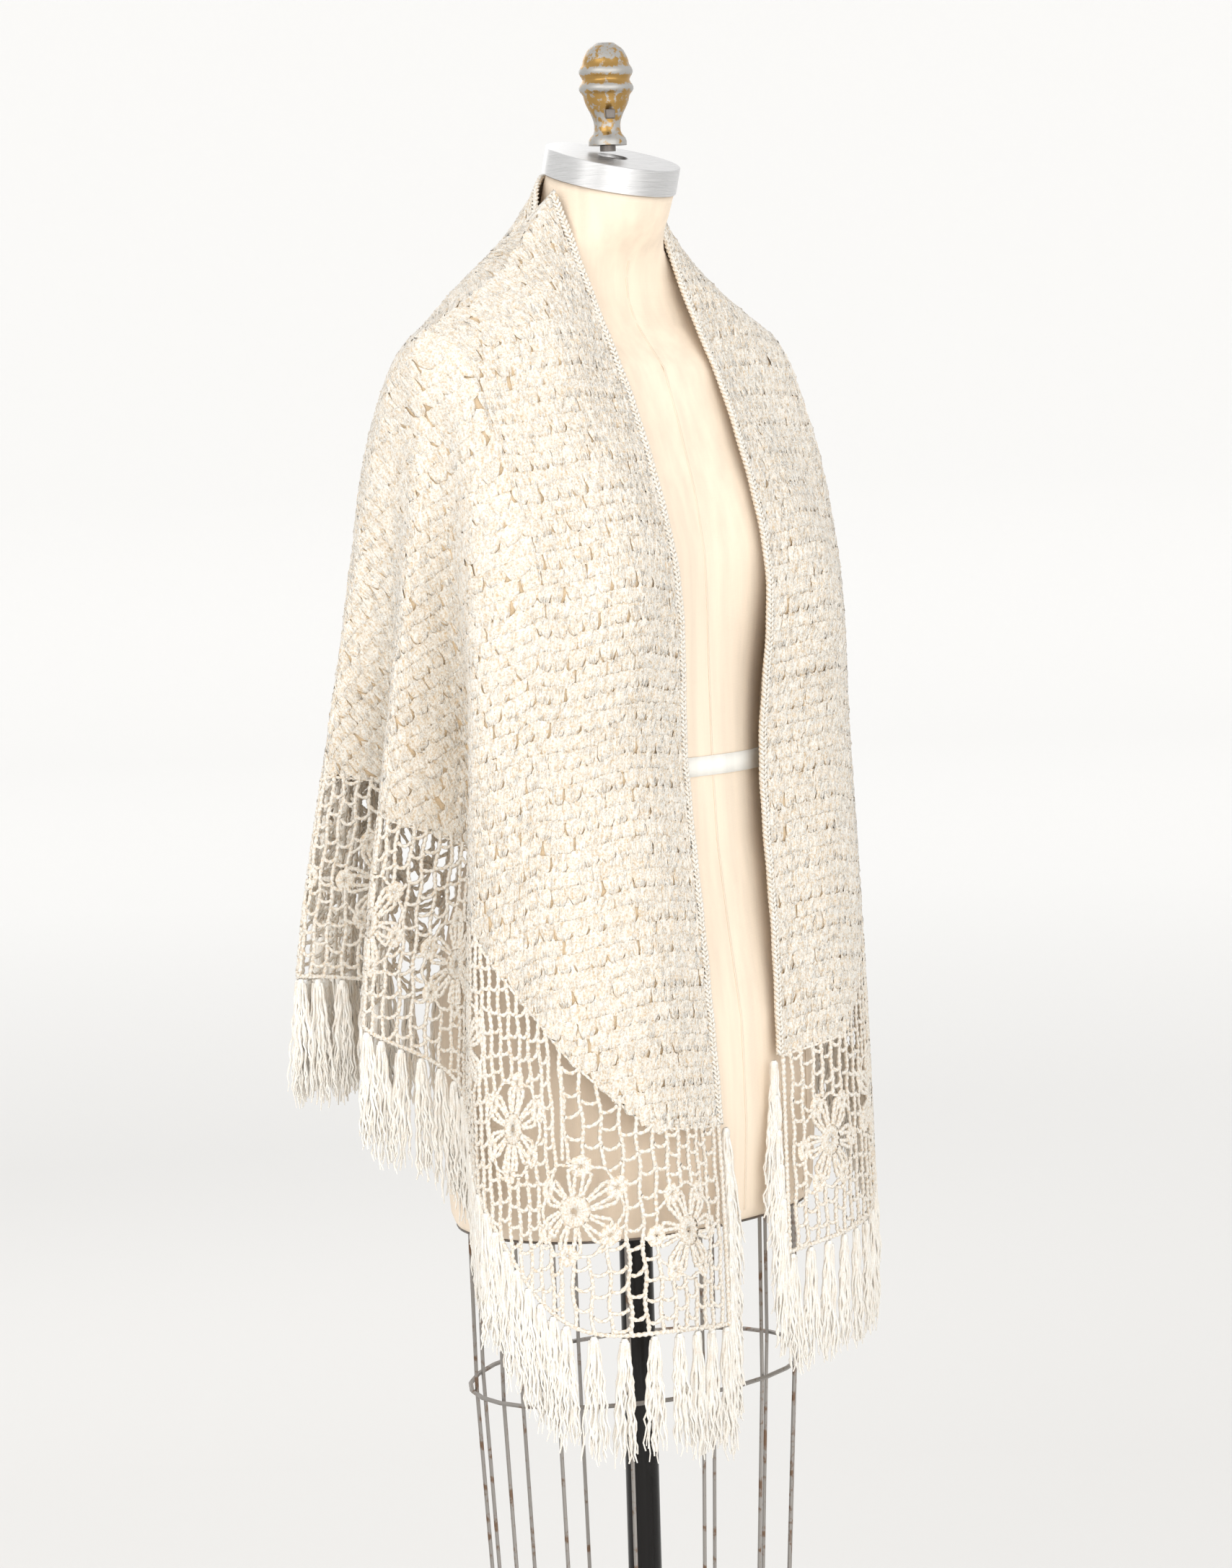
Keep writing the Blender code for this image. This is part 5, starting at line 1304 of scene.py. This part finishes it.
def build_torso():
    """Canvas torso with its seams."""
    sides = 128
    heights = smooth_torso_rings()
    points = [torso_spot(height, 2.0 * math.pi * i / sides, neck_fill(height, 2.0 * math.pi * i / sides))
              for height in heights for i in range(sides)]
    count = len(heights)
    quads = grid_quads(count, sides, closed=True)
    points = np.array(points).reshape(count, sides, 3)
    caps = []
    for ring, turned in ((0, True), (count - 1, False)):
        centre = points[ring].mean(axis=0)
        caps.append((ring, centre, turned))
    flat = points.reshape(-1, 3)
    extra, more = [], []
    for ring, centre, turned in caps:
        first = len(flat) + len(extra)
        small = centre + (points[ring] - centre) * 0.02
        extra += list(small)
        for i in range(sides):
            j = (i + 1) % sides
            face = (ring * sides + i, ring * sides + j, first + j, first + i)
            more.append(face[::-1] if turned else face)
    piece = add_quads("canvas_torso", np.concatenate([flat, np.array(extra)]),
                      np.concatenate([quads, np.array(more)]), "canvas", ["torso"])
    build_torso_seams()
    build_foot_wire()
    return piece


SEAMS = (
    # name, turns at heights over the waist: height, angle in degrees from the front
    ("centre_front", ((-0.35, 0.0), (0.0, 0.0), (0.40, 0.0))),
    ("princess_right", ((-0.35, -30.0), (0.0, -34.0), (0.165, -42.0), (0.33, -62.0))),
    ("princess_left", ((-0.35, 30.0), (0.0, 34.0), (0.165, 42.0), (0.33, 62.0))),
    ("side_right", ((-0.35, -92.0), (0.0, -94.0), (0.19, -92.0))),
    ("side_left", ((-0.35, 92.0), (0.0, 94.0), (0.19, 92.0))),
    ("back_right", ((-0.35, -150.0), (0.0, -148.0), (0.33, -140.0))),
    ("back_left", ((-0.35, 150.0), (0.0, 148.0), (0.33, 140.0))),
    ("centre_back", ((-0.35, 180.0), (0.0, 180.0), (0.40, 180.0))),
)


def build_torso_seams():
    """Narrow raised seams down the torso."""
    strands = Strands()
    for _, rows in SEAMS:
        heights = np.arange(rows[0][0], rows[-1][0], 0.006)
        angles = np.radians(np.interp(heights, [row[0] for row in rows], [row[1] for row in rows]))
        path = np.array([torso_spot(h, a, 0.0002) for h, a in zip(heights, angles)])
        facing = np.array([torso_spot(h, a, 0.01) for h, a in zip(heights, angles)]) - path
        strands.add(path, facing, 0.0011, 0.25)
    return strands.piece("torso_seams", "canvas")


def build_foot_wire():
    """Dark wire that binds the torso's lower edge."""
    angles = np.linspace(0.0, 2.0 * math.pi, 161)
    path = np.array([torso_spot(TORSO_BOTTOM + 0.0004, angle, 0.0002) for angle in angles])
    facing = np.array([torso_spot(TORSO_BOTTOM + 0.0004, angle, 0.01) for angle in angles]) - path
    strands = Strands(6)
    strands.add(path, facing, 0.0011)
    return strands.piece("foot_wire", "steel")


def build_waist_tape():
    """Cotton tape round the waist."""
    sides = 128
    half, face = 0.5 * TAPE_HEIGHT, 3 * SEAM + TAPE_THICKNESS
    rows = ((-half, 0.0004), (-half, face), (0.0, face + 0.0002), (half, face), (half, 0.0004))
    points = [torso_spot(h, 2.0 * math.pi * i / sides, grow) for h, grow in rows for i in range(sides)]
    quads = grid_quads(len(rows), sides, closed=True)
    piece = add_quads("waist_band", points, quads, "cotton_tape", ["waist_tape"])
    return piece


def turn_profile(name, profile, centre, finish, nodes, steps=64, lean=0.0):
    """Spin a profile of radius, height rows round an upright or leaning axis."""
    mesh = bpy.data.meshes.new(name)
    piece = bpy.data.objects.new(name, mesh)
    bpy.context.scene.collection.objects.link(piece)
    points = [(0.0, 0.0, profile[0][1])] + [(r, 0.0, h) for r, h in profile] + [(0.0, 0.0, profile[-1][1])]
    mesh.from_pydata(points, [(i, i + 1) for i in range(len(points) - 1)], [])
    bpy.ops.object.select_all(action="DESELECT")
    piece.select_set(True)
    bpy.context.view_layer.objects.active = piece
    bpy.ops.object.mode_set(mode="EDIT")
    bpy.ops.mesh.select_all(action="SELECT")
    bpy.ops.mesh.spin(steps=steps, angle=2.0 * math.pi, center=(0.0, 0.0, 0.0), axis=(0.0, 0.0, 1.0))
    bpy.ops.mesh.select_all(action="SELECT")
    bpy.ops.mesh.remove_doubles(threshold=0.00001)
    bpy.ops.mesh.normals_make_consistent(inside=False)
    bpy.ops.object.mode_set(mode="OBJECT")
    mesh.transform(Matrix.Translation(Vector(centre)) @ Matrix.Rotation(lean, 4, "X"))
    mesh.shade_smooth()
    mesh.set_sharp_from_angle(angle=math.radians(38.0))
    return settle(piece, finish, nodes)


def rounded(profile, radius=0.0010):
    """Break each corner of a profile into two, so that its edges are soft."""
    out = [profile[0]]
    for before, here, after in zip(profile, profile[1:], profile[2:]):
        for other in (before, after):
            way = np.array(other) - np.array(here)
            length = max(np.linalg.norm(way), 1e-9)
            spot = np.array(here) + way * min(radius, 0.45 * length) / length
            out.append((float(spot[0]), float(spot[1])))
    return out + [profile[-1]]


def build_neck_cap():
    """Turned flat-sided cap, with a shallow socket round the finial's stem."""
    edge = 0.0005
    profile = ((CAP_RADIUS - edge, 0.0), (CAP_RADIUS, edge), (CAP_RADIUS, CAP_HEIGHT - edge),
               (CAP_RADIUS - edge, CAP_HEIGHT), (0.0125, CAP_HEIGHT), (0.0115, CAP_HEIGHT - 0.0025),
               (0.0100, CAP_HEIGHT - 0.0030))
    return turn_profile("turned_neck_cap", profile, CAP_CENTRE, "brushed_aluminium", ["neck_cap"],
                        96, NECK_LEAN)


# Height on the finial, and how far its gold shows there
FINIAL_GOLD = ((0.0, 0.35), (0.006, 0.25), (0.0105, 0.75), (0.0135, 0.30), (0.020, 0.45), (0.028, 0.72), (0.038, 0.85),
               (0.0405, 0.80), (0.0430, 0.05), (0.0460, 0.10), (0.0485, 0.95), (0.0530, 1.0), (0.0560, 0.05),
               (0.0590, 0.10), (0.0615, 0.95), (0.0660, 0.90), (0.0690, 0.45), (0.0795, 0.30))


def build_finial():
    """Turned finial with rounded beads, and its stem."""
    centre = (0.0, CAP_CENTRE.y, FINIAL_FOOT)
    piece = turn_profile("turned_finial", rounded(FINIAL_PROFILE, 0.0014), centre, "worn_gold", ["finial"], 64)
    heights = [vertex.co.z - centre[2] for vertex in piece.data.vertices]
    layer = piece.data.attributes.new("hollow", "FLOAT", "POINT")
    layer.data.foreach_set("value", np.interp(heights, *zip(*FINIAL_GOLD)).astype(np.float32))
    foot = CAP_CENTRE.z + CAP_HEIGHT + 0.0036
    height = FINIAL_FOOT - SEAM - foot
    turn_profile("turned_stem", ((STEM_RADIUS, 0.0), (STEM_RADIUS, height)), (0.0, CAP_CENTRE.y, foot), "steel",
                 ["finial_stem"], 32)


def build_set_screw():
    """Square head with a chamfered face."""
    low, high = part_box("set_screw")
    bpy.ops.object.select_all(action="DESELECT")
    bpy.ops.mesh.primitive_cube_add(size=1.0)
    piece = bpy.context.object
    piece.name = "square_set_screw"
    turn = math.radians(-40.0)
    size = Vector((0.0072, 0.0070, 0.0072))
    middle = (low + high) / 2
    place = Matrix.Translation(middle) @ Matrix.Rotation(turn, 4, "Z") @ Matrix.Diagonal((*size, 1.0))
    piece.data.transform(place)
    bpy.ops.object.mode_set(mode="EDIT")
    bpy.ops.mesh.select_all(action="SELECT")
    bpy.ops.mesh.bevel(offset=0.0007, segments=2, affect="EDGES")
    bpy.ops.object.mode_set(mode="OBJECT")
    piece.data.shade_smooth()
    piece.data.set_sharp_from_angle(angle=math.radians(50.0))
    return settle(piece, "steel", ["set_screw"])


def build_arm_plates():
    """Covered boards with a raised rolled rim."""
    for side, word in SIDES:
        sides = 64
        rows = ((0.0003, 1.0), (0.6 * PLATE_THICKNESS, 1.0), (PLATE_THICKNESS, 0.975), (1.12 * PLATE_THICKNESS, 0.93),
                (PLATE_THICKNESS, 0.88), (0.82 * PLATE_THICKNESS, 0.84), (0.84 * PLATE_THICKNESS, 0.40),
                (0.85 * PLATE_THICKNESS, 0.02))
        points = []
        for out, scale in rows:
            for i in range(sides):
                angle = 2.0 * math.pi * i / sides * side
                points.append((side * (ARMHOLE["half_width"] + SEAM + out),
                               PLATE["y"] + scale * PLATE["half_depth"] * math.cos(angle),
                               WAIST + PLATE["z"] + scale * PLATE["half_height"] * math.sin(angle)))
        add_quads(f"covered_plate_{word}", points, grid_quads(len(rows), sides, closed=True), "brown_board",
                  [f"arm_plate_{word}"])


def dress_stand():
    """Give the pole, base and cage their own finishes; the base and pole are turned finer."""
    profile = ((BASE_RADIUS - 0.002, 0.0), (BASE_RADIUS, 0.002), (BASE_RADIUS, BASE_RIM - 0.003),
               (BASE_RADIUS - 0.004, BASE_RIM), (0.120, 0.024), (0.050, 0.034), (0.030, 0.048), (0.024, BASE_HUB))
    turn_profile("cast_base", rounded(profile, 0.0015), (0.0, 0.0, 0.0), "black_enamel", ["base"], 96)
    top = WAIST + TORSO_BOTTOM - SEAM
    turn_profile("stand_pole", ((POLE_RADIUS, BASE_HUB + SEAM), (POLE_RADIUS, top)), (0.0, 0.0, 0.0),
                 "black_enamel", ["pole"], 48)
    for name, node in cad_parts.items():
        if name.startswith("cage"):
            node.data.materials.clear()
            node.data.materials.append(finish_of("rusty_wire"))


class ADD_OT_dress_form(bpy.types.Operator):
    """Build the canvas torso with its seams, tape, plates, cap and finial"""

    bl_idname = "shawl.dress_form"
    bl_label = "Dress form"

    def execute(self, context):
        build_torso()
        build_waist_tape()
        build_arm_plates()
        build_neck_cap()
        build_finial()
        build_set_screw()
        return {"FINISHED"}


class ADD_OT_stand(bpy.types.Operator):
    """Turn the pole and the base, and give the cage its finish"""

    bl_idname = "shawl.stand"
    bl_label = "Stand and cage"

    def execute(self, context):
        dress_stand()
        return {"FINISHED"}


# Stage

def build_floor():
    """Pale floor that curves up behind the object, wide enough for every view."""
    mesh = bpy.data.meshes.new("floor")
    piece = bpy.data.objects.new("floor", mesh)
    bpy.context.scene.collection.objects.link(piece)
    radii = (0.01, 0.5, 1.5, 4.0, 8.0, 9.0, 9.6, 10.0)
    heights = (0.0, 0.0, 0.0, 0.0, 0.0, 0.3, 1.0, 3.0)
    sides = 64
    points = [(r * math.cos(2 * math.pi * i / sides), r * math.sin(2 * math.pi * i / sides), h)
              for r, h in zip(radii, heights) for i in range(sides)]
    mesh.from_pydata(points, [], [tuple(face) for face in grid_quads(len(radii), sides, closed=True)[:, ::-1].tolist()])
    mesh.shade_smooth()
    made, tree, shader = start_finish("floor", (0.93, 0.925, 0.91), 0.9, Specular_IOR_Level=0.05)
    place = tree.nodes.new("ShaderNodeTexCoord")
    length = tree.nodes.new("ShaderNodeVectorMath")
    length.operation = "LENGTH"
    tree.links.new(place.outputs["Object"], length.inputs[0])
    # Painted light and shade: darker near the stand, where the lamps fall strongest, and paler out to the curved wall,
    # where little of their light reaches.
    far = map_range(tree, length.outputs["Value"], 2.0, 8.0, 0.0, 1.0)
    tree.links.new(mix_colours(tree, far, (0.75, 0.745, 0.735), (0.97, 0.97, 0.965)), shader.inputs["Base Color"])
    mesh.materials.append(made)


def add_light(name, turn, height, distance, size, power, colour):
    """A soft square light that faces the shawl, turn in degrees round it from the front."""
    data = bpy.data.lights.new(name, "AREA")
    data.shape = "SQUARE"
    data.size = size
    data.energy = power
    data.color = colour
    lamp = bpy.data.objects.new(name, data)
    bpy.context.scene.collection.objects.link(lamp)
    angle = math.radians(turn)
    lamp.location = (math.sin(angle) * distance, -math.cos(angle) * distance, height)
    aim = Vector((0.0, 0.0, 1.15)) - lamp.location
    lamp.rotation_euler = aim.to_track_quat("-Z", "Y").to_euler()


def build_camera():
    """Camera at the photograph's place, height, tilt and roll."""
    data = bpy.data.cameras.new("photo_camera")
    camera = bpy.data.objects.new("photo_camera", data)
    bpy.context.scene.collection.objects.link(camera)
    bpy.context.scene.camera = camera
    width, height = PHOTO_SIZE
    data.sensor_fit = "AUTO"
    data.sensor_width = 24.0
    data.lens = FOCAL_PIXELS / height * 24.0
    data.shift_x = -SHIFT_PIXELS / height
    place = Vector((math.sin(CAMERA_TURN) * CAMERA_DISTANCE, -math.cos(CAMERA_TURN) * CAMERA_DISTANCE, CAMERA_HEIGHT))
    ahead = Vector((-math.sin(CAMERA_TURN) * math.cos(CAMERA_PITCH), math.cos(CAMERA_TURN) * math.cos(CAMERA_PITCH),
                    -math.sin(CAMERA_PITCH)))
    right = Vector((math.cos(CAMERA_TURN), math.sin(CAMERA_TURN), 0.0))
    axes = Matrix((right, right.cross(ahead), -ahead)).transposed()
    camera.matrix_world = Matrix.Translation(place) @ (axes @ Matrix.Rotation(CAMERA_ROLL, 3, "Z")).to_4x4()


class ADD_OT_stage(bpy.types.Operator):
    """Set the floor, the soft lights and the camera"""

    bl_idname = "shawl.stage"
    bl_label = "Stage"

    def execute(self, context):
        settings = context.scene.stage_settings
        build_floor()
        add_light("key", -78.0, 2.3, 3.4, 2.6, settings.key_power, (1.0, 0.985, 0.96))
        add_light("fill", -18.0, 1.7, 3.6, 3.0, settings.fill_power, (1.0, 0.99, 0.975))
        add_light("low", -40.0, 0.45, 3.2, 2.4, 0.5 * settings.fill_power, (1.0, 0.985, 0.96))
        add_light("back", 150.0, 2.6, 3.0, 2.2, 0.5 * settings.fill_power, (1.0, 0.99, 0.975))
        world = bpy.data.worlds.new("studio")
        context.scene.world = world
        world.use_nodes = True
        sky = world.node_tree.nodes["Background"]
        sky.inputs["Color"].default_value = (1.0, 0.992, 0.98, 1.0)
        sky.inputs["Strength"].default_value = settings.sky
        context.scene.view_settings.view_transform = "Standard"
        build_camera()
        return {"FINISHED"}


class ADD_OT_declare(bpy.types.Operator):
    bl_idname = "shawl.declare"
    bl_label = "Declare cloth"

    def execute(self, context):
        return {"FINISHED"}


class VIEW3D_PT_shawl(bpy.types.Panel):
    """Lists the steps that build the shawl and its dress form"""

    bl_label = "Lace shawl"
    bl_space_type = "VIEW_3D"
    bl_region_type = "UI"
    bl_category = "Shawl"

    def draw(self, context):
        scene = context.scene
        for title in ("shell_width", "shell_height", "yarn", "hollow", "silk", "tassel_strands", "seed"):
            self.layout.prop(scene.shawl_settings, title)
        for title in ("canvas", "board", "paint"):
            self.layout.prop(scene.form_settings, title)
        for title in ("key_power", "fill_power", "sky"):
            self.layout.prop(scene.stage_settings, title)
        for step in STEPS:
            self.layout.operator(step.bl_idname)


STEPS = (ADD_OT_dress_form, ADD_OT_stand, ADD_OT_dense_body, ADD_OT_rope_edging, ADD_OT_lace_border,
         ADD_OT_fringe, ADD_OT_declare, ADD_OT_stage)
CLASSES = (ShawlSettings, FormSettings, StageSettings, *STEPS, VIEW3D_PT_shawl)
GROUPS = (("shawl_settings", ShawlSettings), ("form_settings", FormSettings), ("stage_settings", StageSettings))


def register():
    """Register the classes and the scene's settings."""
    for made in CLASSES:
        bpy.utils.register_class(made)
    for title, group in GROUPS:
        setattr(bpy.types.Scene, title, PointerProperty(type=group))


def unregister():
    """Take the settings and the classes away again."""
    for title, _ in GROUPS:
        delattr(bpy.types.Scene, title)
    for made in reversed(CLASSES):
        bpy.utils.unregister_class(made)


def main():
    """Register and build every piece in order."""
    register()
    bpy.ops.shawl.dress_form()
    bpy.ops.shawl.stand()
    bpy.ops.shawl.dense_body()
    bpy.ops.shawl.rope_edging()
    bpy.ops.shawl.lace_border()
    bpy.ops.shawl.fringe()
    bpy.ops.shawl.declare()
    bpy.ops.shawl.stage()


if __name__ == "__main__":
    main()
